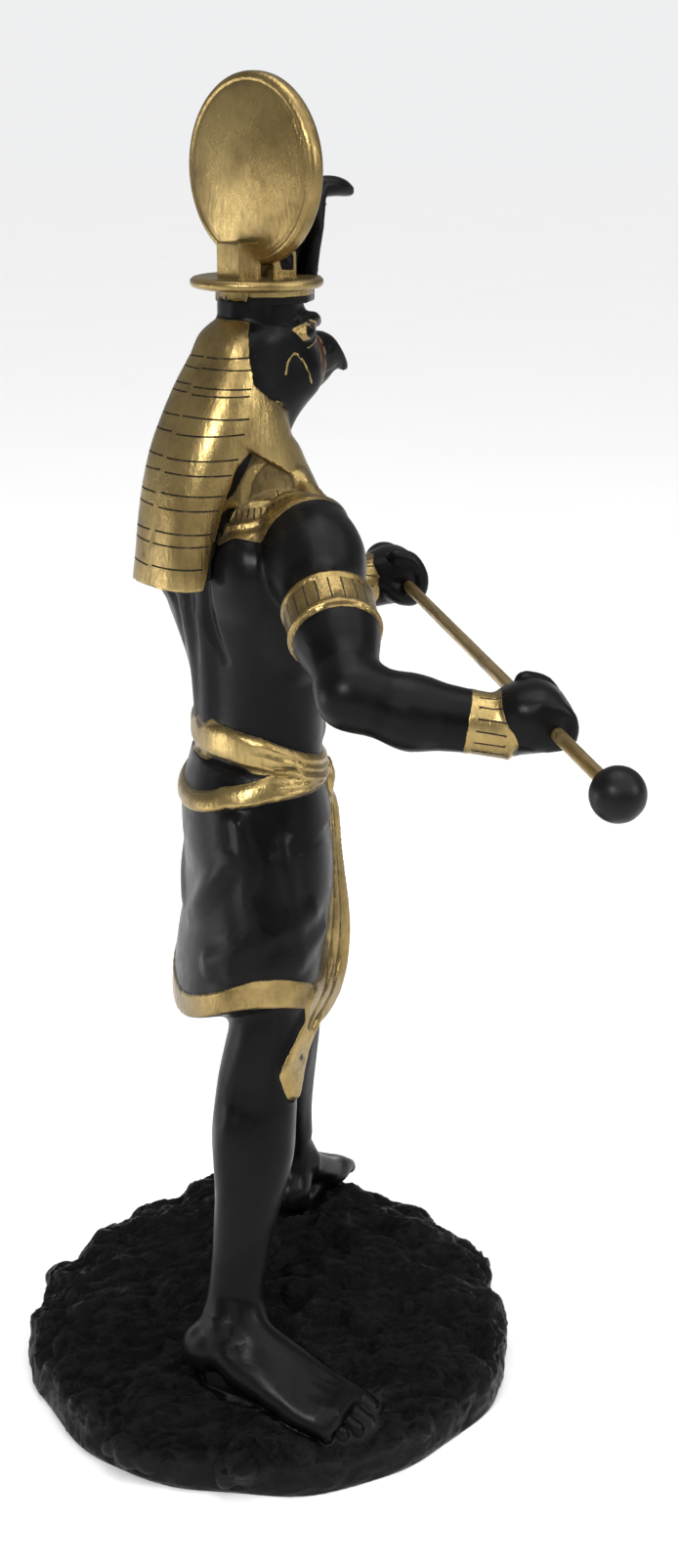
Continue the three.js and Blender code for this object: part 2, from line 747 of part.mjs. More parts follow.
// A bare foot with its heel, instep, sole and toes
function addFoot(clay, { heel, toes, soles, ankle, size }, side) {
  const length = Math.hypot(toes[0] - heel[0], toes[1] - heel[1]);
  const heading = [(toes[0] - heel[0]) / length, (toes[1] - heel[1]) / length];
  const aside = [-side * heading[1], side * heading[0]];
  const yaw = THREE.MathUtils.radToDeg(Math.atan2(heading[0], -heading[1]));
  const onFoot = (along, out, up) => {
    const [x, y] = heel.map((start, i) => start + (heading[i] * along + aside[i] * out) * size);
    const share = Math.min((along * size) / length, 1.1);
    return at(x, y, soles[0] + (soles[1] - soles[0]) * share + up * size);
  };
  const thick = (...radii) => radii.map((radius) => radius * size);
  clay.add(egg(onFoot(0, 0, 7), thick(7, 8.2, 8.2), yaw), 3);
  clay.add(bar(ankle, onFoot(3.5, 0, 10), ...thick(8, 8)), 3);
  const innerStep = [[16, -1.5, 16.5], [28, -4.4, 10.6], [38, -6.6, 7.2], [47, -8.4, 5.4]];
  const outerStep = [[12, 3.4, 11.5], [24, 5.4, 8], [36, 7.4, 5.4], [45, 8, 4.4]];
  const arch = [[18, 1, 13], [30, 0.8, 8.6], [42, 0, 5.4]];
  clay.add(strand([ankle, ...innerStep.map((place) => onFoot(...place))], thick(7.4, 7.2, 6.4, 5.2, 4.4)), 3);
  clay.add(strand([ankle, ...outerStep.map((place) => onFoot(...place))], thick(7, 6.6, 5.6, 4.6, 3.6)), 3);
  clay.add(strand(arch.map((place) => onFoot(...place)), thick(7, 6, 4.6)), 3);
  clay.add(block(onFoot(26, 0.4, 3.4), thick(7.6, 24, 3.8), 3.2 * size, yaw), 3);
  clay.add(block(onFoot(38, 0, 3.8), thick(10.4, 7.5, 3.8), 3.4 * size, yaw), 3);
  for (const { out, radius, tip } of toeSizes) {
    const root = onFoot(33, out * 0.8, radius + 4.4);
    const middle = onFoot(tip - 7, out, radius + 1.8);
    const end = onFoot(tip - radius, out, radius);
    clay.add(strand([root, middle, end], thick(radius * 0.8, radius, radius)), 0.6);
  }
}

// A flat-ended ring round a limb
function cuff(from, to, place, halfLength, radius) {
  return puck(from.clone().lerp(to, place), to.clone().sub(from), radius, halfLength, 0.8);
}

// The fingers of a fist: how far out along the rod each lies, and its radius
const fingers = [
  [-7.8, 2.8],
  [-2.6, 2.85],
  [2.5, 2.7],
  [7.3, 2.4],
];

// A fist closed round the rod, with the thumb on its inner side
function addFist(clay, centre, side) {
  const off = (out, back, up) => {
    return centre.clone().add(new THREE.Vector3(side * out * unit, back * unit, up * unit));
  };
  clay.add(egg(off(0, 4, 2.6), [9.6, 9.4, 9]), 3);
  clay.add(block(off(0, 2.4, 1.4), [10.2, 6.6, 7], 4.6), 3);
  clay.add(block(off(-1, 5, 5), [9, 7, 5], 4.2, 0, -14), 3);
  for (const [place, radius] of fingers) {
    const fall = (place + 8.4) * 0.16;
    const curl = [
      off(place, 4, 9.6 - fall),
      off(place, -1.2, 8 - fall),
      off(place, -4.8 + fall * 0.3, 2),
      off(place, -3.4, fall * 0.4 - 3.6),
      off(place, 1.8, fall * 0.4 - 4.8),
    ];
    clay.add(strand(curl, [radius, radius, radius, radius, radius * 0.8]), 0.6);
  }
  const thumb = [off(-8, 8, 1), off(-9.4, 3.4, -3), off(-7.4, -1.6, -5), off(-2, -3.6, -5.6)];
  clay.add(strand(thumb, [3.6, 3.2, 2.7, 2.3]), 1);
}

// An arm from shoulder to fist, with its armlet and bracelet
function addArm(clay, { side, shoulder, elbow, fist }) {
  const between = (a, b, t) => a.clone().lerp(b, t);
  clay.add(egg(between(shoulder, elbow, 0.1), [14, 13.5, 14]), 5);
  clay.add(bar(shoulder, between(shoulder, elbow, 0.62), 12.6, 11.6), 5);
  clay.add(bar(between(shoulder, elbow, 0.5), elbow, 11.6, 8.8), 4);
  const wrist = between(elbow, fist, 0.78).add(new THREE.Vector3(0, 0, -2.6 * unit));
  const belly = between(elbow, wrist, 0.4).add(new THREE.Vector3(0, 0, -1.5 * unit));
  clay.add(bar(elbow, belly, 9.2, 9.8), 4);
  clay.add(bar(belly, wrist, 9.8, 7.7), 3);
  clay.add(bar(wrist, fist.clone().add(new THREE.Vector3(-side * unit, 4 * unit, 0)), 7.6, 7.6), 3);
  clay.add(cuff(shoulder, elbow, 0.52, 6.5, 13), 0.3);
  clay.add(cuff(belly, wrist, 0.86, 6.3, 8.6), 0.3);
  addFist(clay, fist, side);
}

// The headcloth, the falcon's head and the rearing cobra
function addHead(clay) {
  const tail = column(tailRows, 2.6);
  const wings = column(wingRows, 2.6);
  const cloth = (x, y, z) => {
    const height = (z - moundHeight) / unit;
    const forward = forwardOnHead(x, y);
    const below = (wingApex.height - wingApex.slope * (forward - wingApex.forward) - height) * unit;
    const joined = Math.min(tail.distance(x, y, z), Math.max(wings.distance(x, y, z), below));
    if (height < faceBorder[0][0]) return joined;
    return Math.max(joined, (forward - smoothRow(faceBorder, height)[1]) * unit);
  };
  clay.add({ distance: cloth, box: tail.box.clone().union(wings.box) }, 1.5);
  clay.cut(block(onHead(0, 10, 284), [8.5, 17, 17], 5, headTurn), 2);
  const fall = [[13.5, 4, 279], [14, 13, 269], [14, 18.5, 260], [14, 21.5, 248]];
  for (const side of [1, -1]) {
    const outer = fall.map(([left, forward, height]) => onChest(side * (left + 3.5), forward - 1, height));
    const inner = fall.map(([left, forward, height]) => onChest(side * (left - 3.5), forward, height));
    clay.add(ribbon(outer, inner, 3.2, 4), 2);
  }
  clay.add(bar(onHead(0, -7, 278), onHead(0, -2, 300), 9.5, 9), 3);
  clay.add(column(skullRows, 2.7), 2);
  clay.add(laidForward(beakRows, 2.2), 2.5);
  for (const side of [1, -1]) {
    const browFront = onHead(side * 5.5, 17.6, 322.8);
    const browMiddle = onHead(side * 9.2, 13, 324.2);
    const browBack = onHead(side * 11.4, 6, 324);
    clay.add(strand([browFront, browMiddle, browBack], [1.6, 2, 1.6]), 2);
    clay.cut(egg(onHead(side * 13.2, 9.4, 320.4), [1.9, 5.5, 2.6], headTurn - side * 14), 1.5);
    clay.add(egg(onHead(side * 11.2, 8.8, 320.4), [2, 4.2, 2.2], headTurn - side * 14), 0.5);
    clay.add(egg(onHead(side * 8.6, 8, 308), [4.6, 8, 6.5], headTurn), 4);
  }
  clay.add(puck(onHead(0, 1, 327), new THREE.Vector3(0, 0, 1), 12.3, 4.5, 2), 1);
  clay.add(column(hoodRows, 2.2), 1);
  clay.add(laidForward(snakeRows, 2.4), 1.2);
}

// The groove of the spine: its heights and radii
const spineRows = [
  [262, 1.5],
  [245, 2.2],
  [228, 2.6],
  [212, 2.4],
  [200, 1.6],
];

// The two cloth bands round the waist: a place to the back, a height and a half width
const lowerBelt = [
  [-24, 189.6, 2.4],
  [-14, 189.7, 1.9],
  [1.5, 190.5, 3.3],
  [15.5, 187.2, 2.6],
  [27, 180.5, 2.2],
];
const upperBelt = [
  [-24, 189.5, 3.8],
  [-16, 191.8, 4.3],
  [-5, 196.7, 4.1],
  [4, 200.1, 4.7],
  [24, 200.8, 4.6],
];

// A cloth band that follows the skin round the waist
function wrapped(skin, rows, proud) {
  const distance = (x, y, z) => {
    const [, height, half] = smoothRow(rows, y / unit);
    const off = ((z - moundHeight) / unit - height) / half;
    const rise = skin.distance(x, y, z) / (proud * unit);
    return (Math.cbrt(Math.abs(off) ** 3 + Math.abs(rise) ** 3) - 1) * proud * unit;
  };
  const middle = rows[Math.floor(rows.length / 2)][1];
  return shape(distance, [at(0, 0, middle), 38 * unit]);
}

// The trunk with its muscles, the kilt with its belts and sash, and the broad collar
function addBody(clay) {
  const trunk = column(trunkRows, 2.2);
  const kilt = column(kiltRows, 2.3);
  clay.add(trunk, 4);
  for (const side of [1, -1]) {
    clay.add(egg(onChest(side * 15, 12, 252), [15, 8, 11], chestTurn), 4);
    clay.add(egg(onChest(side * 17, -18.5, 255), [12, 7, 12], chestTurn), 5);
    clay.add(egg(onChest(side * 27, -4, 243), [9, 11, 18], chestTurn), 5);
  }
  const spine = spineRows.map(([height]) => {
    const [, left, back, , depth, turn] = smoothRow(trunkRows, height);
    const a = THREE.MathUtils.degToRad(turn);
    return at(left - (depth + 1) * Math.sin(a), back + (depth + 1) * Math.cos(a), height);
  });
  clay.cut(strand(spine, spineRows.map(([, radius]) => radius)), 4);
  clay.add(kilt, 3);
  const hem = (x, y, z) => {
    const off = Math.abs((z - moundHeight) / unit - hemAt(x) - hemBand / 2) - hemBand / 2;
    return Math.max(kilt.distance(x, y, z) - 0.7 * unit, off * unit);
  };
  clay.add({ distance: hem, box: kilt.box }, 0.3);
  const belowHem = (x, y, z) => z - moundHeight - hemAt(x) * unit;
  clay.cut(shape(belowHem, [at(0, 6, 96), 46 * unit]), 1);
  const skin = together(trunk, kilt);
  clay.add(wrapped(skin, lowerBelt, 1.8), 0.4);
  clay.add(wrapped(skin, upperBelt, 2.2), 0.4);
  clay.add(puck(at(0, -19.4, 184.5), new THREE.Vector3(0, 1, 0), 6, 2.6, 1.1), 0.3);
  const outer = sashRows.map((row) => at(...row.slice(0, 3)));
  const front = sashRows.map((row) => at(...row.slice(3)));
  const far = front.map((point, i) => {
    const share = (sashRows.length - i) / sashRows.length;
    return point.clone().add(new THREE.Vector3(5 * share * unit, 1.6 * share * unit, 0));
  });
  clay.add(ribbon(outer, front, 2, 6), 1);
  clay.add(ribbon(front, far, 2, 6), 1);
  const inward = new THREE.Vector3(3 * unit, 2.5 * unit, 0);
  const core = outer.slice(0, 5).map((point, i) => point.clone().lerp(front[i], 0.5).add(inward));
  clay.add(strand(core, [3, 3.4, 3.4, 3, 2]), 2);
  const wings = column(wingRows, 2.6);
  const underWings = { distance: (x, y, z) => wings.distance(x, y, z) + 3.5 * unit, box: wings.box };
  const torso = together(trunk, bar(arms.right.shoulder, arms.left.shoulder, 12), underWings);
  const collarCentre = onChest(0, 2, 276);
  const collarReach = egg(collarCentre, [33, 33, 27], chestTurn);
  const collar = (x, y, z) => Math.max(torso.distance(x, y, z) - 1.6 * unit, collarReach.distance(x, y, z));
  clay.add(shape(collar, [collarCentre, 34 * unit]), 1);
}

// A closed geometry as a solid for joining and cutting
const wasm = await Module();
wasm.setup();

function solidOf(geometry) {
  const bare = geometry.clone();
  bare.deleteAttribute('normal');
  bare.deleteAttribute('uv');
  const merged = mergeVertices(bare, 1e-4);
  const vertProperties = new Float32Array(merged.attributes.position.array);
  const triVerts = new Uint32Array(merged.index.array);
  return new wasm.Manifold(new wasm.Mesh({ numProp: 3, vertProperties, triVerts }));
}

function geometryOf(solid) {
  const mesh = solid.getMesh();
  const geometry = new THREE.BufferGeometry();
  geometry.setAttribute('position', new THREE.BufferAttribute(mesh.vertProperties, 3));
  geometry.setIndex(new THREE.BufferAttribute(mesh.triVerts, 1));
  return geometry;
}

// A round plate with chamfered edges, its axis along Z and its middle at the origin
function plate(radius, thickness, chamfer, sides) {
  const half = thickness / 2;
  const profile = [
    new THREE.Vector2(0, -half),
    new THREE.Vector2(radius - chamfer, -half),
    new THREE.Vector2(radius, chamfer - half),
    new THREE.Vector2(radius, half - chamfer),
    new THREE.Vector2(radius - chamfer, half),
    new THREE.Vector2(0, half),
  ];
  return new THREE.LatheGeometry(profile, sides).rotateX(Math.PI / 2);
}

// The crown: a faceted drum, a round plate, a foot block and the sun disc, upright and turned as the head is
const discRadius = 26.4;

function crown() {
  const turn = THREE.MathUtils.degToRad(discTurn);
  const place = (geometry, point) => solidOf(geometry.translate(point.x, point.y, point.z));
  const box = (wide, deep, tall) => {
    return new THREE.BoxGeometry(wide * unit, deep * unit, tall * unit).rotateZ(turn);
  };
  const drum = place(plate(14.3 * unit, 5 * unit, 0.4 * unit, 10), onHead(0, 3, 331.5));
  const shelf = place(plate(19.2 * unit, 3.2 * unit, 1.1 * unit, 40), onHead(0, 0, 334.7));
  const foot = place(box(10, 9.5, 13), onHead(0, -7.1, 339.5));
  const mortise = place(box(12, 8, 12), onHead(0, 3, 338));
  const disc = plate(discRadius * unit, 5.4 * unit, 1.3 * unit, 56).rotateX(Math.PI / 2).rotateZ(turn);
  const upright = place(disc, onHead(0, -0.4, poseHeight - discRadius));
  return drum.add(shelf).add(foot).add(mortise).add(upright);
}

// A round rod or bore along X through the grips
function alongRod(radius, length, sides, middle) {
  const cylinder = new THREE.CylinderGeometry(radius, radius, length, sides).rotateZ(Math.PI / 2);
  return cylinder.translate(middle, -rodForward, rodHeight);
}

// Room round the fists and the mound in the block of clay, and how far below its top the clay ends
const fistRoom = 16 * unit;
const moundRoom = 3;
const crownAbove = 8 * unit;

// The clay figure, its crown and the bore that the rod passes through
function figureGeometry() {
  const ring = moundDiameter / 2 + moundRoom;
  const room = new THREE.Box3(
    new THREE.Vector3(-rightGrip - fistRoom, -ring, -2),
    new THREE.Vector3(leftGrip + fistRoom, ring, statueHeight - crownAbove),
  );
  const clay = new Clay(room, modelStep * unit);
  addBody(clay);
  addHead(clay);
  addLeg(clay, legs.right);
  addLeg(clay, legs.left);
  addArm(clay, arms.right);
  addArm(clay, arms.left);
  clay.add(mound(), 1);
  const skin = simplify(skinOf(clay), figureTriangles);
  const body = new THREE.BufferGeometry();
  body.setAttribute('position', new THREE.Float32BufferAttribute(skin.positions, 3));
  body.setIndex(skin.triangles);
  const boreLength = rightGrip + leftGrip + 2 * fistRoom;
  const bore = alongRod(boreRadius, boreLength, boreSides, (leftGrip - rightGrip) / 2);
  return geometryOf(solidOf(body).add(crown()).subtract(solidOf(bore)));
}

// An end ball with a blind socket that the rod's end sits in
function ballGeometry(side) {
  const middle = rodMiddle + (side * (rodSpan - ballDiameter)) / 2;
  const ball = new THREE.SphereGeometry(ballDiameter / 2, 16, 10).translate(middle, -rodForward, rodHeight);
  const socketLength = ballSocketDepth + clearance + ballDiameter;
  const socketMiddle = rodMiddle + side * (rodLength / 2 + clearance - socketLength / 2);
  const socket = alongRod(boreRadius, socketLength, boreSides, socketMiddle);
  return geometryOf(solidOf(ball).subtract(solidOf(socket)));
}

const resin = new THREE.MeshStandardMaterial({ color: 0x17161a, roughness: 0.35, metalness: 0 });
const brass = new THREE.MeshStandardMaterial({ color: 0x8f7440, roughness: 0.45, metalness: 0.8 });

function piece(name, geometry, material) {
  const mesh = new THREE.Mesh(geometry, material);
  mesh.name = name;
  return mesh;
}

const statue = new THREE.Group();
statue.add(piece('figure', figureGeometry(), resin));
statue.add(piece('rod', alongRod(rodDiameter / 2, rodLength, 16, rodMiddle), brass));
statue.add(piece('ball_right', ballGeometry(-1), resin));
statue.add(piece('ball_left', ballGeometry(1), resin));

export default statue;
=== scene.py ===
# %% [markdown]
# # A falcon-headed guardian, cast in resin
#
# This lesson dresses a desk statuette: a man with a falcon's head walks on a rocky mound and holds
# a slim metal rod in both fists. The real one is modelled in clay, moulded in rubber and cast in
# black resin as one piece, and then its cloth, bands and crown are brushed with antique gold.
# The lesson follows the same order: clay first, then the rock's relief, then the crisp turned parts
# of the crown, then engraving, and the paint last.

import math

import bmesh
import bpy
import numpy as np
import openvdb
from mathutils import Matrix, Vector


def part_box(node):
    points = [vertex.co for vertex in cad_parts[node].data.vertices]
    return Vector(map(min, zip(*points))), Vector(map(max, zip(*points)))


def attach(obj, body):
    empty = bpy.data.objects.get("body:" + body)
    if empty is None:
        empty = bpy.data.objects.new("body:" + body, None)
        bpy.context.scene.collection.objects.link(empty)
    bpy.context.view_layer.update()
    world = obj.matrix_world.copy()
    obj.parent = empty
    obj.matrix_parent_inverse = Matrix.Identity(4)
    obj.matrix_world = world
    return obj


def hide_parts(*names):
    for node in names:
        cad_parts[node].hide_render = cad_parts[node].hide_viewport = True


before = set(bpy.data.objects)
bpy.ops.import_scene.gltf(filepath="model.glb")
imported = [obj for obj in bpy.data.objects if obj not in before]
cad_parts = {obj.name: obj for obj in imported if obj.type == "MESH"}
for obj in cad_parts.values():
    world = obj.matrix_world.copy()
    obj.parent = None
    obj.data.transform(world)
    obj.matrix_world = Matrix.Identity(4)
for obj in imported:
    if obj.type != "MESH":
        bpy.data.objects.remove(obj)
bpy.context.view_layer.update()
print("nodes in the frame:", sorted(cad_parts))

# %% [markdown]
# ## Sizes
#
# The measured solids say how tall the casting is and where the rod runs. Everything sculpted here is
# laid out on a figure that is 392 units tall from the rock to the top of the disc, which makes one
# unit very nearly a millimetre. x runs to the figure's left, y to its back, z up from the rock.

# %% Sizes taken from the frame
METRES = 0.001
MOUND_HEIGHT = 20.0
POSE_HEIGHT = 392.0

statue_top = float(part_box("figure")[1][2]) / METRES
rod_low, rod_high = (np.array(corner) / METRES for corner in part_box("rod"))
UNIT = (statue_top - MOUND_HEIGHT) / POSE_HEIGHT
ROD_HEIGHT = float((rod_low[2] + rod_high[2]) / 2 - MOUND_HEIGHT) / UNIT
ROD_FORWARD = float(-(rod_low[1] + rod_high[1]) / 2) / UNIT
ROD_RADIUS = float(rod_high[2] - rod_low[2]) / 2 / UNIT
RIGHT_GRIP = -95.5
LEFT_GRIP = 78.0
print("one unit is %.4f mm, the rod runs %.1f units above the rock" % (UNIT, ROD_HEIGHT))

# %% Turned parts of the body
HEAD_TURN = 30.0
DISC_TURN = 33.0
CHEST_TURN = 24.0


def turned(degrees, left, forward, height):
    """A point given on a part of the body that is turned to the figure's left."""
    angle = math.radians(degrees)
    x = left * math.cos(angle) + forward * math.sin(angle)
    y = left * math.sin(angle) - forward * math.cos(angle)
    return np.array([x, y, height])


def on_head(left, forward, height):
    return turned(HEAD_TURN, left, forward, height)


def forward_on_head(x, y):
    """How far ahead a place lies in the direction that the head faces."""
    return x * math.sin(math.radians(HEAD_TURN)) - y * math.cos(math.radians(HEAD_TURN))


def on_chest(left, forward, height):
    return turned(CHEST_TURN, left, forward, height)


def on_one_side(place, side, rows):
    """Points of the head or chest from rows of (left, forward, height). side is -1 for the right."""
    return [place(side * left, forward, height) for left, forward, height in rows]


def at(x, y, z):
    return np.array([x, y, z], float)


def mix(a, b, share):
    return a + (b - a) * share


# %% [markdown]
# ## Digital clay
#
# A sculptor adds pellets of clay and smooths where they meet. A distance field does the same: each
# form is a function that says how far a point is from its skin, less than nothing inside. Two fields
# are joined with the smaller value, and a soft minimum makes the fillet that a thumb would leave.

# %% Forms as distance functions
class Form:
    """A shape: its distance function, and the box that holds it."""

    def __init__(self, distance, low, high):
        self.distance = distance
        self.low = np.asarray(low, float)
        self.high = np.asarray(high, float)


def bar(start, end, radius_start, radius_end=None):
    """A round bar that tapers from one end to the other."""
    radius_end = radius_start if radius_end is None else radius_end
    start = np.asarray(start, float)
    end = np.asarray(end, float)
    ax, ay, az = start.tolist()
    dx, dy, dz = (end - start).tolist()
    length_squared = dx * dx + dy * dy + dz * dz
    taper = radius_end - radius_start

    def distance(x, y, z):
        px, py, pz = x - ax, y - ay, z - az
        share = np.clip((px * dx + py * dy + pz * dz) / length_squared, 0, 1)
        off = np.sqrt((px - share * dx) ** 2 + (py - share * dy) ** 2 + (pz - share * dz) ** 2)
        return off - radius_start - share * taper

    low = np.minimum(start - radius_start, end - radius_end)
    high = np.maximum(start + radius_start, end + radius_end)
    return Form(distance, low, high)


def turning(yaw, pitch=0):
    """The axes of a form that is yawed about z and pitched about its x."""
    cy, sy = math.cos(math.radians(yaw)), math.sin(math.radians(yaw))
    cx, sx = math.cos(math.radians(pitch)), math.sin(math.radians(pitch))
    about_z = np.array([[cy, -sy, 0], [sy, cy, 0], [0, 0, 1]])
    about_x = np.array([[1, 0, 0], [0, cx, -sx], [0, sx, cx]])
    return about_z @ about_x


def into(centre, axes):
    """A function that takes points into the axes of a turned form."""
    cx, cy, cz = (float(value) for value in centre)
    m = [[float(value) for value in row] for row in np.asarray(axes).T]

    def local(x, y, z):
        px, py, pz = x - cx, y - cy, z - cz
        return tuple(row[0] * px + row[1] * py + row[2] * pz for row in m)

    return local


def egg(centre, halves, yaw=0):
    """An ellipsoid with three half lengths."""
    a, b, c = (float(half) for half in halves)
    local = into(centre, turning(yaw))

    def distance(x, y, z):
        px, py, pz = local(x, y, z)
        near = np.sqrt((px / a) ** 2 + (py / b) ** 2 + (pz / c) ** 2)
        slope = np.sqrt((px / a**2) ** 2 + (py / b**2) ** 2 + (pz / c**2) ** 2)
        return near * (near - 1) / np.maximum(slope, 1e-4)

    reach = max(a, b, c)
    return Form(distance, np.asarray(centre) - reach, np.asarray(centre) + reach)


def block(centre, halves, edge, yaw=0, pitch=0):
    """A box with rounded edges."""
    a, b, c = (float(half) - edge for half in halves)
    local = into(centre, turning(yaw, pitch))

    def distance(x, y, z):
        px, py, pz = local(x, y, z)
        dx, dy, dz = np.abs(px) - a, np.abs(py) - b, np.abs(pz) - c
        outside = np.sqrt(np.maximum(dx, 0) ** 2 + np.maximum(dy, 0) ** 2 + np.maximum(dz, 0) ** 2)
        return outside + np.minimum(np.maximum(np.maximum(dx, dy), dz), 0) - edge

    reach = float(np.linalg.norm(halves))
    return Form(distance, np.asarray(centre) - reach, np.asarray(centre) + reach)


def puck(centre, axis, radius, half_thickness, edge):
    """A flat round plate or ring with rounded edges and its axis along a direction."""
    nx, ny, nz = (np.asarray(axis, float) / np.linalg.norm(axis)).tolist()
    cx, cy, cz = (float(value) for value in centre)

    def distance(x, y, z):
        px, py, pz = x - cx, y - cy, z - cz
        rise = px * nx + py * ny + pz * nz
        out = np.sqrt(np.maximum(px**2 + py**2 + pz**2 - rise**2, 0)) - (radius - edge)
        up = np.abs(rise) - (half_thickness - edge)
        outside = np.sqrt(np.maximum(out, 0) ** 2 + np.maximum(up, 0) ** 2)
        return outside + np.minimum(np.maximum(out, up), 0) - edge

    reach = math.hypot(radius, half_thickness)
    return Form(distance, np.asarray(centre) - reach, np.asarray(centre) + reach)


def union(*forms):
    """The smallest of several distances as one form."""

    def distance(x, y, z):
        nearest = forms[0].distance(x, y, z)
        for form in forms[1:]:
            nearest = np.minimum(nearest, form.distance(x, y, z))
        return nearest

    low = np.min([form.low for form in forms], axis=0)
    high = np.max([form.high for form in forms], axis=0)
    return Form(distance, low, high)


def curve_through(points, steps=4):
    """A smooth line through a few points, as many short steps."""
    points = np.asarray(points, float)
    padded = np.vstack([2 * points[0] - points[1], points, 2 * points[-1] - points[-2]])
    line = []
    for i in range(1, len(padded) - 2):
        p0, p1, p2, p3 = padded[i - 1 : i + 3]
        for step in range(steps):
            t = step / steps
            line.append(0.5 * (2 * p1 + (p2 - p0) * t + (2 * p0 - 5 * p1 + 4 * p2 - p3) * t**2
                               + (3 * p1 - p0 - 3 * p2 + p3) * t**3))
    line.append(points[-1])
    return np.array(line)


def strand(points, radii, steps=4):
    """A round strand of clay along a smooth line, with a radius at each of its points."""
    radii = np.full(len(points), radii, float) if np.isscalar(radii) else np.asarray(radii, float)
    both = curve_through(np.column_stack([np.asarray(points, float), radii]), steps)
    pieces = zip(both, both[1:])
    return union(*[bar(a[:3], b[:3], float(a[3]), float(b[3])) for a, b in pieces])


def ribbon(first_edge, second_edge, radius, steps=4):
    """A strap of clay between two smooth edges, as thick as a thin roll."""
    pairs = zip(curve_through(first_edge, steps), curve_through(second_edge, steps))
    return union(*[bar(a, b, radius) for a, b in pairs])


print("forms: bar, egg, block, puck, strand, ribbon")

# %% [markdown]
# Stacked oval sections make the trunk, the kilt, the limbs and the headcloth, as a sculptor's
# calipers would take them. Each row gives height, place to the left and back, half width, half depth
# and turn. Between the rows the section changes smoothly. The same form can be laid along any axes,
# which the beak needs.

# %% Forms of stacked sections
def smooth_rows(rows, heights):
    """The rows' values at other heights, on smooth curves through them."""
    rows = np.asarray(rows, float)
    known = rows[:, 0]
    slopes = np.gradient(rows, known, axis=0)
    heights = np.clip(heights, known[0], known[-1])
    i = np.clip(np.searchsorted(known, heights) - 1, 0, len(known) - 2)
    span = (known[i + 1] - known[i])[:, None]
    t = ((heights - known[i])[:, None]) / span
    return ((2 * t**3 - 3 * t**2 + 1) * rows[i] + (t**3 - 2 * t**2 + t) * span * slopes[i]
            + (3 * t**2 - 2 * t**3) * rows[i + 1] + (t**3 - t**2) * span * slopes[i + 1])


class Column(Form):
    """A standing form of stacked oval sections, squarer where the power is above two."""

    def __init__(self, rows, power):
        self.rows = np.asarray(sorted(rows), float)
        self.power = power
        self.bottom, self.top = float(self.rows[0, 0]), float(self.rows[-1, 0])
        self.levels = np.linspace(self.bottom, self.top, int(self.top - self.bottom) * 2 + 2)
        self.table = smooth_rows(self.rows, self.levels)
        reach = np.max(self.rows[:, 3:5]) * 1.15
        low = [self.rows[:, 1].min() - reach, self.rows[:, 2].min() - reach, self.bottom]
        high = [self.rows[:, 1].max() + reach, self.rows[:, 2].max() + reach, self.top]
        super().__init__(self.measure, low, high)

    def section(self, z):
        """Place, half sizes and turn of the section at each height."""
        z = np.clip(z, self.bottom, self.top)
        return [np.interp(z, self.levels, self.table[:, k]).astype(np.float32) for k in range(1, 6)]

    def measure(self, x, y, z):
        left, back, width, depth, turn = self.section(z)
        turn = np.radians(turn)
        px, py = x - left, y - back
        side = np.abs(px * np.cos(turn) + py * np.sin(turn))
        front = np.abs(py * np.cos(turn) - px * np.sin(turn))
        reach = np.sqrt(side**2 + front**2)
        ratio = ((side / width) ** self.power + (front / depth) ** self.power) ** (1 / self.power)
        flat = np.where(ratio > 1e-3, reach * (1 - 1 / np.maximum(ratio, 1e-3)), -depth)
        return np.maximum(np.maximum(flat, z - self.top), self.bottom - z)

    def point(self, bearing, height, out=0.0):
        """The skin's point at a bearing: 0 is the front, 90 the left, 180 the back, -90 the right."""
        left, back, width, depth, turn = (float(v[0]) for v in self.section(np.array([height])))
        angle = math.radians(bearing)
        side, front = math.sin(angle), math.cos(angle)
        grow = (abs(side / width) ** self.power + abs(front / depth) ** self.power) ** (-1 / self.power)
        side, front = side * (grow + out), front * (grow + out)
        turn = math.radians(turn)
        x = left + side * math.cos(turn) + front * math.sin(turn)
        y = back + side * math.sin(turn) - front * math.cos(turn)
        return np.array([x, y, height])


def laid(column, axes):
    """A column whose left, back and up follow other axes, given as the columns of a matrix."""
    axes = np.asarray(axes, float)
    local = into((0, 0, 0), axes)
    corners = np.array([[x, y, z] for x in (column.low[0], column.high[0])
                        for y in (column.low[1], column.high[1])
                        for z in (column.low[2], column.high[2])])
    places = corners @ axes.T
    low, high = places.min(axis=0), places.max(axis=0)
    return Form(lambda x, y, z: column.measure(*local(x, y, z)), low, high)


def turned_rows(rows):
    """Rows of (height, forward, half width, half depth, turn), placed along their own turn."""
    return [[height, *turned(turn, 0, forward, 0)[:2], width, depth, turn]
            for height, forward, width, depth, turn in rows]


HEAD_AXES = np.column_stack([on_head(1, 0, 0), at(0, 0, 1), on_head(0, 1, 0)])

# %% [markdown]
# The block of clay itself is a grid of distances. `add` joins a form with a fillet, `cut` carves one
# away. Each form that is added says which paint it gets, because the painter follows the same edges.

# %% The clay
CELL = 0.6
FAR = 20.0


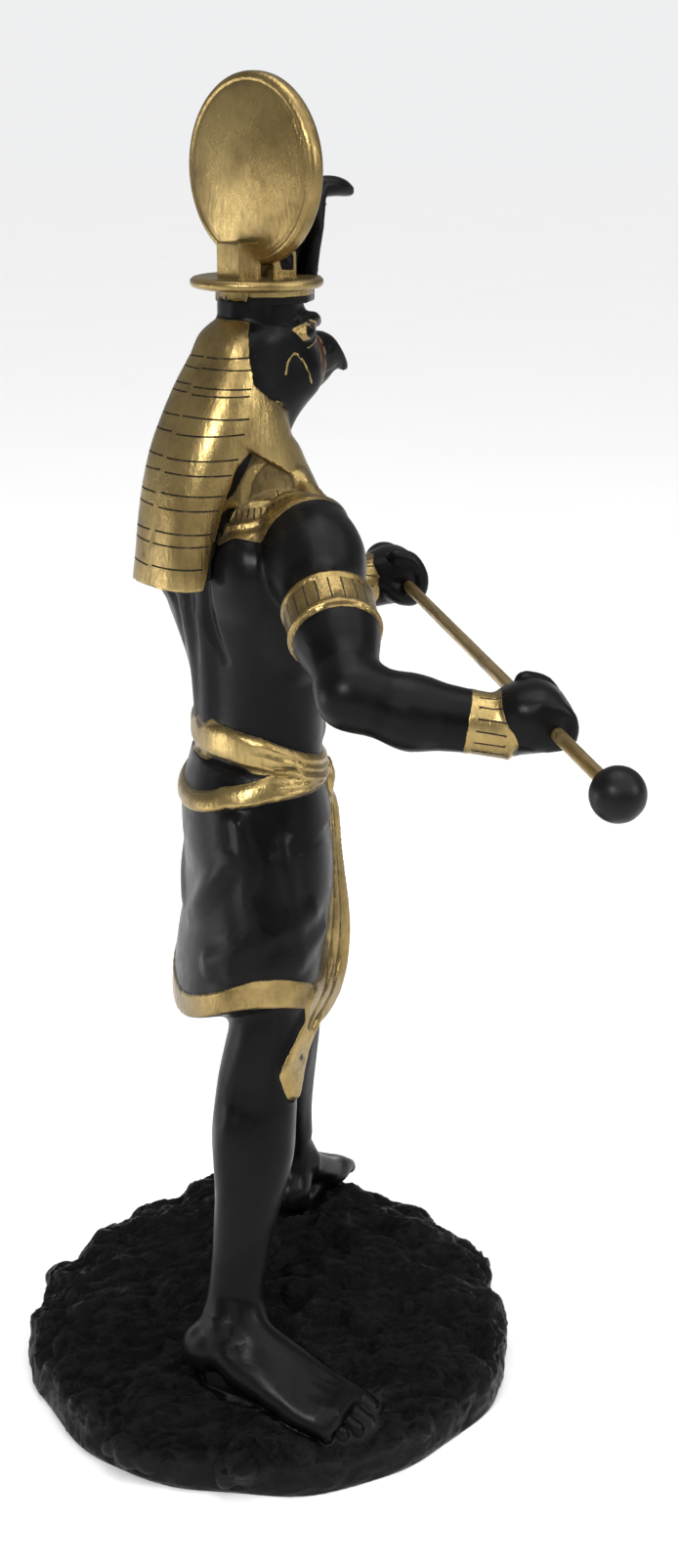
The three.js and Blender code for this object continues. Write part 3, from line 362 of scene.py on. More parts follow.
class Clay:
    """A grid of distances that forms are added to and carved from."""

    def __init__(self, low, high, cell):
        self.cell = cell
        self.axes = [np.arange(a, b + cell, cell, dtype=np.float32) for a, b in zip(low, high)]
        self.values = np.full([len(axis) for axis in self.axes], FAR, np.float32)
        self.painted = {"black": [], "gold": []}

    def window(self, form, margin):
        """The part of the grid near a form, and its coordinates."""
        cut = []
        for axis, low, high in zip(self.axes, form.low, form.high):
            start = int(np.searchsorted(axis, low - margin))
            stop = int(np.searchsorted(axis, high + margin))
            cut.append(slice(start, stop))
        x = self.axes[0][cut[0]][:, None, None]
        y = self.axes[1][cut[1]][None, :, None]
        z = self.axes[2][cut[2]][None, None, :]
        return tuple(cut), x, y, z

    def add(self, form, fillet=0.0, paint="black"):
        self.painted[paint].append(form)
        self.blend(form, fillet, 1)

    def cut(self, form, fillet=0.0):
        self.blend(form, fillet, -1)

    def blend(self, form, fillet, sign):
        soft = max(fillet, 1e-4)
        where, x, y, z = self.window(form, soft + 2 * self.cell)
        made = sign * form.distance(x, y, z)
        old = self.values[where]
        h = np.maximum(soft - np.abs(old - made), 0) / soft
        if sign > 0:
            self.values[where] = np.minimum(old, made) - h * h * soft / 4
        else:
            self.values[where] = np.maximum(old, made) + h * h * soft / 4


clay = Clay([-114, -86, -22], [104, 86, 366], CELL)
print("clay grid:", clay.values.shape)

# %% [markdown]
# ## Trunk
#
# The trunk turns as it rises: the hips face ahead and the chest faces 24 degrees to the figure's
# left. Stacked sections carry that twist. Shoulder blades, chest and the long back muscles are
# pellets on top, and the spine and breastbone are grooves.

# %% Trunk
trunk = Column([
    [176, 0, 1.4, 28.5, 21.5, 3],
    [190, 0, 1.2, 26, 18.6, 7],
    [203, 0, 0.9, 25, 17.8, 11],
    [220, -0.6, 1.4, 28, 18.2, 17],
    [236, -1.4, 3.2, 33, 19.4, 22],
    [250, -2, 4.8, 35.6, 20.8, 24],
    [262, -2.2, 5, 33.5, 19, 24],
    [271, -2, 4.6, 25, 15, 24],
    [280, -1.8, 4, 14, 11, 26],
    [290, -1.8, 3.4, 9.5, 9.5, 28],
], 2.2)
clay.add(trunk, 4)

for side in (1, -1):
    clay.add(egg(on_chest(side * 15, 12, 252), [15, 8, 11], CHEST_TURN), 4)
    clay.add(egg(on_chest(side * 17, -18.5, 255), [12, 7, 12], CHEST_TURN), 5)
    clay.add(egg(on_chest(side * 27, -4, 243), [9, 11, 18], CHEST_TURN), 5)

# %% Back and front of the trunk
LONG_MUSCLE = ((14, 240), (12, 222), (12, 206), (13, 195))
BLADE_EDGE = ((34, 262), (28, 250), (27, 238), (38, 228))
BELLY_ROWS = ((226, 7.5), (214, 7), (202, 6.5))

spine = [trunk.point(180, height, 1.2) for height in (262, 245, 228, 212, 200)]
clay.cut(strand(spine, [1.5, 2.2, 2.6, 2.4, 1.6]), 4)
for side in (1, -1):
    muscle = [trunk.point(180 + side * spread, height, -3) for spread, height in LONG_MUSCLE]
    clay.add(strand(muscle, [3, 4.5, 4.5, 3]), 4)
    blade = [trunk.point(180 + side * spread, height, 0.6) for spread, height in BLADE_EDGE]
    clay.cut(strand(blade, [0.6, 1.1, 1.1, 0.5]), 3)

breastbone = [trunk.point(0, height, 1.2) for height in (256, 240, 225, 210, 198)]
clay.cut(strand(breastbone, [1.5, 1.8, 1.8, 1.6, 1.5]), 3)
for height, width in BELLY_ROWS:
    turn = trunk.section(np.array([height]))[4][0]
    for side in (1, -1):
        clay.add(egg(trunk.point(side * 22, height, -3.5), [width, 5, 5.2], turn), 2.5)
print("trunk from %.0f to %.0f" % (trunk.bottom, trunk.top))

# %% [markdown]
# ## Kilt, belts and sash
#
# A short linen kilt is wrapped round the hips: its back hangs straight and its hem rises at the sides.
# Two gold belts meet at a medallion in front, and a gold sash falls from it and lies over the right
# thigh. The belts are bands that keep a set height above the skin under them, so they follow the body
# however it is changed. The sash is a strap between two measured edges, with a return at its far edge.

# %% Kilt
kilt = Column([
    [104, 0, 7.2, 40.4, 21.8, 0],
    [122, 0, 6.2, 39.4, 21.8, 0],
    [133, 0, 4.6, 38.2, 22, 0],
    [143, 0, 3, 37, 21.8, 0],
    [156, 0, 1.7, 35.6, 22.3, 0],
    [171, 0, 2.6, 33.2, 22.2, 1],
    [182, 0, 3.4, 30.6, 20.8, 2],
    [194, 0, 2.4, 26.6, 18.4, 5],
], 2.3)
HEM_HEIGHT = 111.0
HEM_RISE = 14.5
HEM_REACH = 40.0
HEM_BAND = 7.7


def hem_height(x):
    return HEM_HEIGHT + HEM_RISE * (x / HEM_REACH) ** 2


clay.add(kilt, 3)
# Two ridges over each hip lie mostly sunk in the kilt, and three folds run round its back.
HIP_RIDGES = (
    (2.6, [(-31.5, 11.9, 180.5), (-33.9, 9.5, 167.6), (-34.9, 9.8, 158.7), (-36.3, 8.4, 150.4),
           (-37.6, 8.1, 138)]),
    (2.4, [(-33.2, -0.5, 174), (-34.7, -0.9, 167.1), (-35.6, -2.4, 156.8), (-36.4, -2.8, 148.2),
           (-36.6, -3.9, 137)]),
)
BACK_FOLDS = (
    [(-72, 152), (-88, 147), (-104, 141), (-122, 135)],
    [(-60, 144), (-78, 140), (-94, 136), (-106, 134)],
    [(-112, 168), (-126, 160), (-142, 151), (-160, 145)],
)
for radius, ridge in HIP_RIDGES:
    for side in (-1, 1):
        sunk = (np.array(ridge) + [radius - 0.8, 0, 0]) * [-side, 1, 1]
        clay.add(strand(sunk, [1.2, radius, radius, radius, 1.2]), 4)
for fold in BACK_FOLDS:
    for side in (1, -1):
        line = [kilt.point(side * bearing, height, -1.9) for bearing, height in fold]
        clay.add(strand(line, [1.4, 2.5, 2.4, 1.2]), 6)

# %% Hem
def hem_distance(x, y, z):
    middle = hem_height(x) + HEM_BAND / 2
    return np.maximum(kilt.distance(x, y, z) - 0.7, np.abs(z - middle) - HEM_BAND / 2)


clay.add(Form(hem_distance, kilt.low, [kilt.high[0], kilt.high[1], 134]), 0.3, "gold")
below_hem = Form(lambda x, y, z: z - hem_height(x) + 0 * y, [-46, -40, 60], [46, 52, 130])
clay.cut(below_hem, 1)

# %% Belts
NARROW_BELT = [(-24, 189.6, 2.4), (-14, 189.7, 1.9), (1.5, 190.5, 3.3), (15.5, 187.2, 2.6), (27, 180.5, 2.2)]
WIDE_BELT = [(-24, 189.5, 3.8), (-16, 191.8, 4.3), (-5, 196.7, 4.1), (4, 200.1, 4.7), (14, 202, 4.8),
             (24, 200.8, 4.5)]
MEDALLION = at(0, -19.2, 184.5)

skin = union(trunk, kilt)


def wrapped(rows, proud):
    """A cloth band round the waist. Each row gives a place to the back, a height and a half width."""
    back, height, half = (np.array(column, float) for column in zip(*rows))

    def distance(x, y, z):
        width = np.interp(y, back, half).astype(np.float32)
        off = (z - np.interp(y, back, height).astype(np.float32)) / width
        folds = np.clip((10 - y) / 16, 0, 1) * (0.5 - 0.5 * np.cos(3.2 * math.pi * off + 0.12 * y))
        rise = skin.distance(x, y, z) / (proud * (1 - 0.45 * folds))
        return ((np.abs(off) ** 3 + np.abs(rise) ** 3) ** (1 / 3) - 1) * proud

    return Form(distance, [-38, -38, height.min() - 6], [38, 38, height.max() + 6])


clay.add(wrapped(NARROW_BELT, 1.7), 0.4, "gold")
clay.add(wrapped(WIDE_BELT, 2.2), 0.4, "gold")
clay.add(puck(MEDALLION, at(0, 1, 0), 6, 2.4, 1.1), 0.3, "gold")
clay.add(egg(at(0, -21.4, 184.5), [3.4, 1.4, 3.4]), 0.3, "gold")

# %% Sash
# Each row is a point of the outer edge and the point of the front edge that lies opposite.
SASH = [
    (-4, -17.5, 183, 1, -18.5, 183),
    (-5, -19.0, 176.8, -1, -22.0, 175.3),
    (-8, -18.9, 162.1, -3, -23.1, 160.0),
    (-11, -17.8, 147.3, -5, -24.6, 144.5),
    (-13, -16.3, 137.4, -7, -24.8, 134.3),
    (-16, -14.0, 127.9, -10, -23.3, 124.6),
    (-29, -10.4, 126.1, -13, -20.8, 118.0),
    (-32.3, -8.8, 124.8, -15.5, -19.2, 116.5),
    (-33, -7.5, 122.4, -18.5, -17.2, 115.0),
    (-32.2, -7, 119.6, -22.5, -14.4, 113.9),
    (-32.2, -6.4, 117.0, -26.3, -12, 113.8),
    (-33.2, -5.6, 115.0, -29, -10.4, 112.9),
    (-35.2, -4, 112.8, -30.8, -8.6, 110.5),
    (-36.6, -2.3, 109.7, -31.1, -7.1, 106.6),
    (-38, -0.7, 106.5, -30.7, -6.3, 102.5),
    (-39, 0.4, 103.2, -32.2, -5, 99.3),
    (-38.8, -0.5, 99, -35.5, -3.8, 97),
    (-38.4, -1.5, 95.7, -36.9, -3, 94.8),
]
outer_edge = [at(*row[:3]) for row in SASH]
front_edge = [at(*row[3:]) for row in SASH]
far_edge = [point + at(5, 1.6, 0) * min(1, (len(SASH) - k) / 8) for k, point in enumerate(front_edge)]
clay.add(ribbon(outer_edge, front_edge, 1.5, 9), 0.8, "gold")
clay.add(ribbon(front_edge, far_edge, 1.1, 9), 0.8, "gold")
core = [mix(a, b, 0.4) + at(3, 2.5, 0) for a, b in zip(outer_edge[:6], front_edge[:6])]
clay.add(strand(core, [2.6] * 5 + [1.5]), 2, "gold")
for share, depth in ((0.33, 0.5), (0.66, 0.45)):
    fold = [mix(a, b, share) + at(-1.2, -0.7, 0) for a, b in zip(outer_edge[1:12], front_edge[1:12])]
    clay.cut(strand(fold, depth), 0.8)
print("hem, belts and sash modelled")

# %% [markdown]
# ## Headcloth and collar
#
# The striped headcloth leaves the skull behind the cheeks, falls behind the shoulders as one flat
# tail, and comes forward over them in two wings that end as lappets on the chest. The tail and the
# wings are two columns, squarer than ellipses, and the face's border is one measured line. The broad
# collar is a skin of the body itself, kept inside an egg: each of its rings is where a smaller egg
# meets the body, which gives their rows without measuring a single one.

# %% Headcloth
FACE_BORDER = [(299.4, 0.5), (301, -2.5), (304.5, -9), (308, -13), (315, -13), (321.3, -12), (325, -9),
               (328, -7)]


def ahead_of_border(x, y, z):
    """How far a point is in front of the cloth's border on the face."""
    border = np.interp(z, *zip(*FACE_BORDER)).astype(np.float32)
    return np.where(z > FACE_BORDER[0][0], forward_on_head(x, y) - border, -FAR)


tail = Column(turned_rows([
    (251, -30.2, 15.4, 9.3, 25),
    (260, -27.6, 15.8, 10.8, 25.5),
    (268, -25.2, 16.3, 12.4, 26),
    (280, -21.4, 17, 14, 27),
    (290, -17.2, 17.4, 15.2, 28),
    (297.8, -14.8, 16.8, 14, 29),
    (303.3, -13.6, 15.8, 12.4, 29.5),
    (308, -12.3, 14.6, 11.2, 30),
    (314.3, -8.9, 13.4, 10.5, 30),
    (321.3, -5.5, 11.5, 10, 30),
    (325, -3, 8.2, 8, 30),
    (327.5, -1.5, 6, 6, 30),
]), 2.6)
wings = Column(turned_rows([
    (269, -11, 20, 30, 27),
    (276.5, -11.5, 19.2, 27.3, 28),
    (283, -12, 18.4, 24, 29),
    (289, -12.5, 17.8, 21, 30),
    (292, -12.5, 17.4, 18.4, 30),
    (295, -12.5, 17, 17.6, 30),
    (299, -12, 16.4, 15.6, 30),
    (303, -11, 15.4, 12, 30),
]), 2.6)
APEX_FORWARD, APEX_HEIGHT, APEX_SLOPE = -16.0, 289.6, 0.573


def wing_distance(x, y, z):
    """The cloth over the shoulders, cut off below a line that falls forward from the apex."""
    below = (APEX_HEIGHT - APEX_SLOPE * (forward_on_head(x, y) - APEX_FORWARD) - z) * 0.87
    return np.maximum(wings.distance(x, y, z), below)


TAIL_EDGE = [(251, -31), (263.6, -28.1), (274.6, -25.2), (285.4, -21.1), (289.6, -16.3), (291, 30)]


def ahead_of_tail(x, y, z):
    """How far a point is in front of the tail's edge on the shoulder."""
    return forward_on_head(x, y) - np.interp(z, *zip(*TAIL_EDGE)).astype(np.float32)


def cloth_distance(x, y, z):
    hanging = np.maximum(tail.distance(x, y, z), ahead_of_tail(x, y, z))
    joined = np.minimum(hanging, wing_distance(x, y, z))
    return np.maximum(joined, ahead_of_border(x, y, z))


under_tail = Form(lambda x, y, z: tail.distance(x, y, z) + 2.2, tail.low, tail.high - at(0, 0, 36))
clay.add(under_tail, 1)
cloth = Form(cloth_distance, np.minimum(tail.low, wings.low), np.maximum(tail.high, wings.high))
clay.add(cloth, 0.8, "gold")
clay.cut(block(on_head(0, 10, 284), [8.5, 17, 17], 5, HEAD_TURN), 2)

LAPPET = ((13.5, 4, 279), (14, 13, 269), (14, 18.5, 260), (14, 21.5, 248))
lappets = []
for side in (1, -1):
    middle = on_one_side(on_chest, side, LAPPET)
    outer = [point + on_chest(side * 3.5, -1, 0) for point in middle]
    inner = [point - on_chest(side * 3.5, 0, 0) for point in middle]
    lappets.append(ribbon(outer, inner, 3.2, 6))
    clay.add(lappets[-1], 2, "gold")
clay.add(bar(on_head(0, -7, 278), on_head(0, -2, 300), 9.5, 9), 3)
print("headcloth modelled")

# %% Broad collar
shoulder = {"right": at(-31, -10, 263.5), "left": at(32, 10.5, 263.5)}
COLLAR_CENTRE = on_chest(0, 2, 276)
COLLAR_HALVES = (33.0, 33.0, 27.0)
COLLAR_ROWS = (0.41, 0.56, 0.73, 0.9, 1.0)
COLLAR_RISE = 1.6


def under_wings_distance(x, y, z):
    """The body under the wings, further below the cloth towards the back."""
    return wings.distance(x, y, z) + 2.9 + 3.6 * np.clip((-forward_on_head(x, y) - 5) / 15, 0, 1)


under_wings = Form(under_wings_distance, wings.low, wings.high)
upper_body = union(trunk, bar(shoulder["right"], shoulder["left"], 12), under_wings)


def collar_egg(share):
    return egg(COLLAR_CENTRE, [half * share for half in COLLAR_HALVES], CHEST_TURN)


collar_reach = collar_egg(1.0)


def collar_distance(x, y, z):
    return np.maximum(upper_body.distance(x, y, z) - COLLAR_RISE, collar_reach.distance(x, y, z))


def collar_ridges(x, y, z):
    """Rolls of clay that follow the collar's rows on the body."""
    height = upper_body.distance(x, y, z) - 1.5
    rolls = []
    for share in COLLAR_ROWS:
        aside = collar_egg(share - 0.012).distance(x, y, z)
        rolls.append(np.sqrt(height**2 + aside**2) - 0.85)
    return np.minimum.reduce(rolls)


collar_box = (COLLAR_CENTRE - 36, COLLAR_CENTRE + 36)
clay.add(Form(collar_distance, *collar_box), 0.6, "gold")
clay.add(Form(collar_ridges, *collar_box), 0.5, "gold")
print("collar modelled, rows:", len(COLLAR_ROWS))

# %% [markdown]
# ## Head
#
# The falcon's skull is a short column of sections under the crown. The beak is a second column that
# is laid forward, because its profile is what the eye checks first: a bulging cere, a curved ridge
# and a hooked tip. The eyes sit in shallow sockets under a brow ridge.

# %% Head of the falcon
SKULL = [
    (287, -2, 8, 9),
    (292, -0.8, 8.3, 9.8),
    (296, 0.4, 8.8, 11.4),
    (300, 1.2, 10.2, 14),
    (304, 0.5, 11.8, 17),
    (309, 0.2, 12.6, 17.8),
    (315, 0.2, 13, 17.8),
    (321, 1.2, 12.6, 15.8),
    (325, 2.4, 11.2, 12),
    (329, 2, 10.5, 10.5),
]
clay.add(Column(turned_rows([(*row, HEAD_TURN) for row in SKULL]), 2.7), 2)
beak = laid(Column([
    [10, 0, 310, 9, 9.5, 0],
    [15, 0, 310, 7.8, 9.6, 0],
    [19, 0, 310.4, 6.6, 9.2, 0],
    [22, 0, 311, 5.4, 8.4, 0],
    [25.1, 0, 311.6, 4.4, 7.2, 0],
    [27.8, 0, 312, 3.5, 5.5, 0],
    [30.6, 0, 311, 2.6, 3.6, 0],
    [33, 0, 308.9, 1.7, 2.2, 0],
    [34.3, 0, 307.8, 0.9, 0.9, 0],
], 2.2), HEAD_AXES)
clay.add(beak, 2.5)

BROW = ((5.5, 17.6, 322.8), (9.2, 13, 324.2), (11.4, 6, 324))
MOUTH = ((6.6, 18, 306), (4.6, 24, 307.4), (3, 28.5, 308.4))
for side in (1, -1):
    eye_turn = HEAD_TURN - side * 14
    clay.add(strand(on_one_side(on_head, side, BROW), [1.6, 2, 1.6]), 2)
    clay.cut(egg(on_head(side * 13.2, 9.4, 320.4), [1.9, 5.5, 2.6], eye_turn), 1.5)
    clay.add(egg(on_head(side * 11.2, 8.8, 320.4), [2, 4.2, 2.2], eye_turn), 0.5)
    clay.add(egg(on_head(side * 8.6, 8, 308), [4.6, 8, 6.5], HEAD_TURN), 4)
    clay.cut(strand(on_one_side(on_head, side, MOUTH), [0.2, 0.6, 0.5]), 0.8)
    clay.cut(egg(on_head(side * 4.7, 25, 314.5), [0.9, 1.3, 0.8], HEAD_TURN), 0.4)
print("head and beak modelled")

# %% [markdown]
# ## Rearing cobra
#
# A cobra stands on the brow in front of the disc: a broad flat hood and a wedge of a head. Its body
# curls back to the ring plate behind the hood.

# %% Rearing cobra
clay.add(puck(on_head(0, 1, 327), at(0, 0, 1), 12.3, 4.5, 2), 1)
hood = laid(Column([
    [334, 0, -17.5, 4.6, 3.2, 0],
    [342, 0, -18.4, 5.4, 2.8, 0],
    [349, 0, -19.2, 6.4, 2.7, 0],
    [354, 0, -20.7, 5.2, 2.7, 0],
    [358, 0, -22.3, 3.6, 2.8, 0],
    [361.5, 0, -24, 3, 2.6, 0],
], 2.2), np.column_stack([on_head(1, 0, 0), -on_head(0, 1, 0), at(0, 0, 1)]))
clay.add(hood, 1)
snake_head = laid(Column([
    [22, 0, 359.6, 3.0, 2.9, 0],
    [26, 0, 360.2, 3.7, 3.0, 0],
    [30, 0, 360.1, 3.6, 2.8, 0],
    [33.5, 0, 359.4, 2.7, 2.3, 0],
    [36, 0, 358.6, 1.7, 1.4, 0],
], 2.4), HEAD_AXES)
clay.add(snake_head, 1.2)

BELLY_FRONT = ((334, 20.6), (342, 21.2), (349, 22), (354, 23.4), (358, 25))
for rise in np.arange(337, 357, 2.6):
    forward = float(np.interp(rise, *zip(*BELLY_FRONT)))
    clay.add(bar(on_head(-2.1, forward, rise), on_head(2.1, forward, rise), 0.75), 0.3, "gold")

COIL = ((3, 9.5, 338), (4.5, 5.5, 342), (4.5, 5, 347.5), (3.8, 9.5, 349.5), (3, 14, 346))
for side in (1, -1):
    clay.add(strand(on_one_side(on_head, side, COIL), [2.2, 2.2, 2, 1.8, 1.6]), 0.8)
print("cobra modelled")

# %% [markdown]
# ## Legs and feet
#
# Each leg is one column of sections that were measured from the side, so its outline holds from hip
# to ankle. The feet are turned well out and stand at different heights on the mound: the right one
# is near the rim and the left one stands higher, towards the back of the hump.

# %% Legs
RIGHT_LEG = [
    [168, -17, 2, 15, 15, 0],
    [140, -22, 3, 14, 13.5, -4],
    [116.1, -26.5, 4.2, 12.3, 10.9, -6],
    [107, -28, 6.3, 11.6, 11.1, -8],
    [97.8, -29.4, 7.5, 10.8, 12.2, -10],
    [91.7, -30.4, 8.2, 10.3, 12.6, -11],
    [82.4, -31.9, 9.2, 10.7, 12.8, -12],
    [73, -33.3, 9.8, 11, 12.5, -14],
    [60.6, -35.3, 11.5, 10.4, 10.7, -16],
    [50.3, -36.9, 13.5, 9, 9.5, -18],
    [39.6, -38.5, 15.1, 7.6, 8.9, -20],
    [29.2, -40.1, 16.8, 7, 8.8, -24],
    [20, -41.2, 17.8, 7.2, 9.4, -28],
]
LEFT_LEG = [
    [168, 17, -2, 15, 15, 0],
    [140, 21, -6, 14, 13.5, 4],
    [120, 25, -10.5, 12, 11.5, 8],
    [107, 28, -12, 10.6, 10.8, 10],
    [98, 29, -12.2, 10.2, 10.9, 12],
    [85, 30.5, -11.6, 10.4, 10.9, 14],
    [72, 32, -11, 10.4, 10.1, 16],
    [60, 34, -11.4, 9.2, 9, 18],
    [50, 35.5, -12.4, 7.8, 7.9, 22],
    [40, 37, -14, 6.8, 7.3, 30],
    [30, 38.2, -15.6, 6.5, 7.3, 38],
]
SHIN = ((10, 9), (26, 8.6), (44, 6.6), (58, 5))


def leg_axis(rows, height):
    """The middle of a leg at a height."""
    levels, left, back = zip(*[row[:3] for row in sorted(rows)])
    return at(np.interp(height, levels, left), np.interp(height, levels, back), height)


def add_leg(rows, side, knee):
    """A leg of measured sections with its kneecap, calf and shin. side is 1 for the left."""
    clay.add(Column(rows, 2.1), 4)
    turn = side * 10
    cap = leg_axis(rows, knee)
    front = turned(turn, 0, 1, 0)
    out = turned(turn, side, 0, 0)
    clay.add(egg(cap + front * 7.2, [5.6, 4.2, 6.4], turn), 3)
    clay.add(egg(cap + front * 6 + at(0, 0, 11), [6.2, 4, 6], turn), 4)
    calf = leg_axis(rows, knee - 22)
    clay.add(egg(calf - front * 5 - out * 4, [6, 6.4, 14], turn), 4)
    clay.add(egg(calf - front * 4.6 + out * 4.4, [5.6, 6.4, 15], turn), 3)
    shin = [leg_axis(rows, knee - drop) + front * reach - out * 1.5 for drop, reach in SHIN]
    clay.add(strand(shin, [1.6, 2, 1.8, 1.4]), 4)


add_leg(RIGHT_LEG, -1, 98)
add_leg(LEFT_LEG, 1, 100)


# %% Feet
# Places on a foot are (along, out, up) from the heel. Toes are (out, radius, tip), the big toe first.
BIG_TOE_SIDE = ((16, -1.5, 16.5), (28, -4.4, 10.6), (38, -6.6, 7.2), (47, -8.4, 5.4))
SMALL_TOE_SIDE = ((12, 3.4, 11.5), (24, 5.4, 8), (36, 7.4, 5.4), (45, 8, 4.4))
INSTEP = ((18, 1, 13), (30, 0.8, 8.6), (42, 0, 5.4))
TOES = ((-9.2, 3.5, 56), (-4.3, 2.4, 57), (0.2, 2.3, 55), (4.5, 2.2, 52), (8.6, 2.2, 48.6))


def add_foot(heel, toes, soles, ankle, side, size):
    """A bare foot. heel and toes are places on the ground, soles the heights there, ankle a point."""
    heel, toes = np.array(heel), np.array(toes)
    heading = (toes - heel) / np.linalg.norm(toes - heel)
    aside = np.array([-heading[1], heading[0]]) * side
    yaw = math.degrees(math.atan2(heading[0], -heading[1]))
    length = float(np.linalg.norm(toes - heel)) / size

    def on_foot(along, out, up):
        flat = heel + heading * along * size + aside * out * size
        return at(flat[0], flat[1], mix(soles[0], soles[1], min(along / length, 1.1)) + up * size)

    def thick(*radii):
        return [radius * size for radius in radii]

    def roll(places, radii, fillet, *before):
        line = [*before, *(on_foot(*place) for place in places)]
        clay.add(strand(line, thick(*radii)), fillet)

    clay.add(egg(on_foot(0, 0, 7), thick(7, 8.2, 8.2), yaw), 3)
    clay.add(bar(ankle, on_foot(3.5, 0, 10), *thick(8, 8)), 3)
    roll(BIG_TOE_SIDE, (7.4, 7.2, 6.4, 5.2, 4.4), 3, ankle + at(*heading, 0) * 2 * size)
    roll(SMALL_TOE_SIDE, (7, 6.6, 5.6, 4.6, 3.6), 3, ankle + at(0, 0, -3) * size)
    roll(INSTEP, (7, 6, 4.6), 3)
    clay.add(block(on_foot(26, 0.4, 3.4), thick(7.6, 24, 3.8), 3.2 * size, yaw), 3)
    clay.add(block(on_foot(38, 0, 3.8), thick(10.4, 7.5, 3.8), 3.4 * size, yaw), 3)
    clay.add(egg(on_foot(41, -8.2, 4.6), thick(4.4, 6.4, 4.6), yaw), 2)
    for out, back in ((6.8, 0), (-6.8, 2)):
        flat = aside * out * size + heading * back * size
        clay.add(egg(ankle + at(*flat, -2.5 * size), thick(2.8, 3.8, 4)), 3)
    for out, radius, tip in TOES:
        joints = [(33, out * 0.8, radius + 4.4), (tip - 13, out * 0.93, radius + 2.6),
                  (tip - 7, out, radius + 1.8), (tip - 4, out, radius + 0.8),
                  (tip - radius, out, radius * 0.9)]
        roll(joints, [radius * share for share in (0.8, 0.86, 0.95, 0.88, 0.95)], 0.5)
        nail = on_foot(tip - radius * 0.8, out, radius * 1.7)
        clay.add(egg(nail, thick(radius * 0.6, radius * 0.62, 0.55), yaw), 0.25)
        tendon = [(14, out * 0.25 - 1, 22), (25, out * 0.5 - 1, 14.6), (36, out * 0.78, radius + 6)]
        roll(tendon, (0.8, 1.5, 1.1), 2.2)


add_foot((-39.5, 26.5), (-73.8, -19.0), (2.2, -7.6), at(-41, 17.8, 22), -1, 1.0)
add_foot((31.0, -13.0), (66.0, -34.5), (15.0, 9.0), at(38.2, -16.2, 31), 1, 0.76)
print("legs and feet modelled")

# %% [markdown]
# ## Arms and fists
#
# Both upper arms hang close to the body and both forearms reach forward to the rod. The fists are
# closed from above, knuckles up, with the thumb under the rod on the inner side.

# %% Arms
FINGERS = ((-7.8, 2.8), (-2.6, 2.85), (2.5, 2.7), (7.3, 2.4))
THUMB = ((8, 8, 1), (9.4, 3.4, -3), (7.4, -1.6, -5), (2, -3.6, -5.6))
ARMLET_SHARE = 0.52

bands = []


def add_fist(centre, side):
    """A closed fist round the rod. side is 1 for the left hand."""
    clay.add(egg(centre + at(0, 4, 2.6), [9.6, 9.4, 9]), 3)
    clay.add(block(centre + at(0, 2.4, 1.4), [10.2, 6.6, 7], 4.6), 3)
    clay.add(block(centre + at(-side, 5, 5), [9, 7, 5], 4.2, 0, -14), 3)
    for place, radius in FINGERS:
        fall = (place + 8.4) * 0.16
        curl = [(-4, 9.6 - fall), (1.2, 8 - fall), (4.8 - fall * 0.3, 2), (3.4, -3.6 + fall * 0.4),
                (-1.8, -4.8 + fall * 0.4)]
        finger = [centre + at(side * place, -forward, up) for forward, up in curl]
        clay.add(strand(finger, [radius * share for share in (1, 1.08, 1, 1, 0.8)]), 0.6)
        clay.add(egg(centre + at(side * place, 3, 9.2 - fall), [radius, radius * 1.1, radius]), 1.6)
    thumb = [centre + at(-side * inward, back, up) for inward, back, up in THUMB]
    clay.add(strand(thumb, [3.6, 3.2, 2.7, 2.3]), 1)


def add_band(start, end, share, plate, rim, strokes):
    """A gold band round an arm. plate and rim are (half length, radius), rim starts with its reach."""

    def cuff(place, half_length, radius):
        return puck(mix(start, end, place), end - start, radius, half_length, 0.8)

    length = np.linalg.norm(end - start)
    clay.add(cuff(share, *plate), 0.4, "gold")
    for way in (-1, 1):
        clay.add(cuff(share + way * rim[0] / length, *rim[1:]), 0.2, "gold")
    bands.append((start, end, share, *strokes))


def add_arm(top, elbow, grip, side, bracelet):
    """An arm from shoulder to fist, with its armlet and bracelet."""
    fist = at(grip, -ROD_FORWARD, ROD_HEIGHT)
    clay.add(egg(mix(top, elbow, 0.1), [14, 13.5, 14]), 5)
    clay.add(bar(top, mix(top, elbow, 0.62), 12.6, 11.6), 5)
    clay.add(bar(mix(top, elbow, 0.5), elbow, 11.6, 8.8), 4)
    wrist = mix(elbow, fist, 0.78) + at(0, 0, -2.6)
    belly = mix(elbow, wrist, 0.4) + at(0, 0, -1.5)
    clay.add(bar(elbow, belly, 9.2, 9.8), 4)
    clay.add(bar(belly, wrist, 9.8, 7.7), 3)
    clay.add(bar(wrist, fist + at(-side, 4, 0), 7.6, 7.6), 3)
    add_band(top, elbow, ARMLET_SHARE, (6.4, 12.8), (5.4, 1.1, 13.4), (22, 3.9, 13))
    add_band(belly, wrist, bracelet, (6.3, 8.5), (5.7, 0.8, 8.8), (16, 4, 9.2))
    add_fist(fist, side)


add_arm(shoulder["right"], at(-83, -11, 234.5), RIGHT_GRIP, -1, 0.86)
add_arm(shoulder["left"], at(70, -14, 238), LEFT_GRIP, 1, 0.68)
print("arms modelled")

# %% [markdown]
# ## The rocky mound
#
# The base is a low dome, higher under the left foot and dented under the right one's toes. Here it
# gets its large form and a few loose stones. The bark-like rock comes later, as relief on the skin.

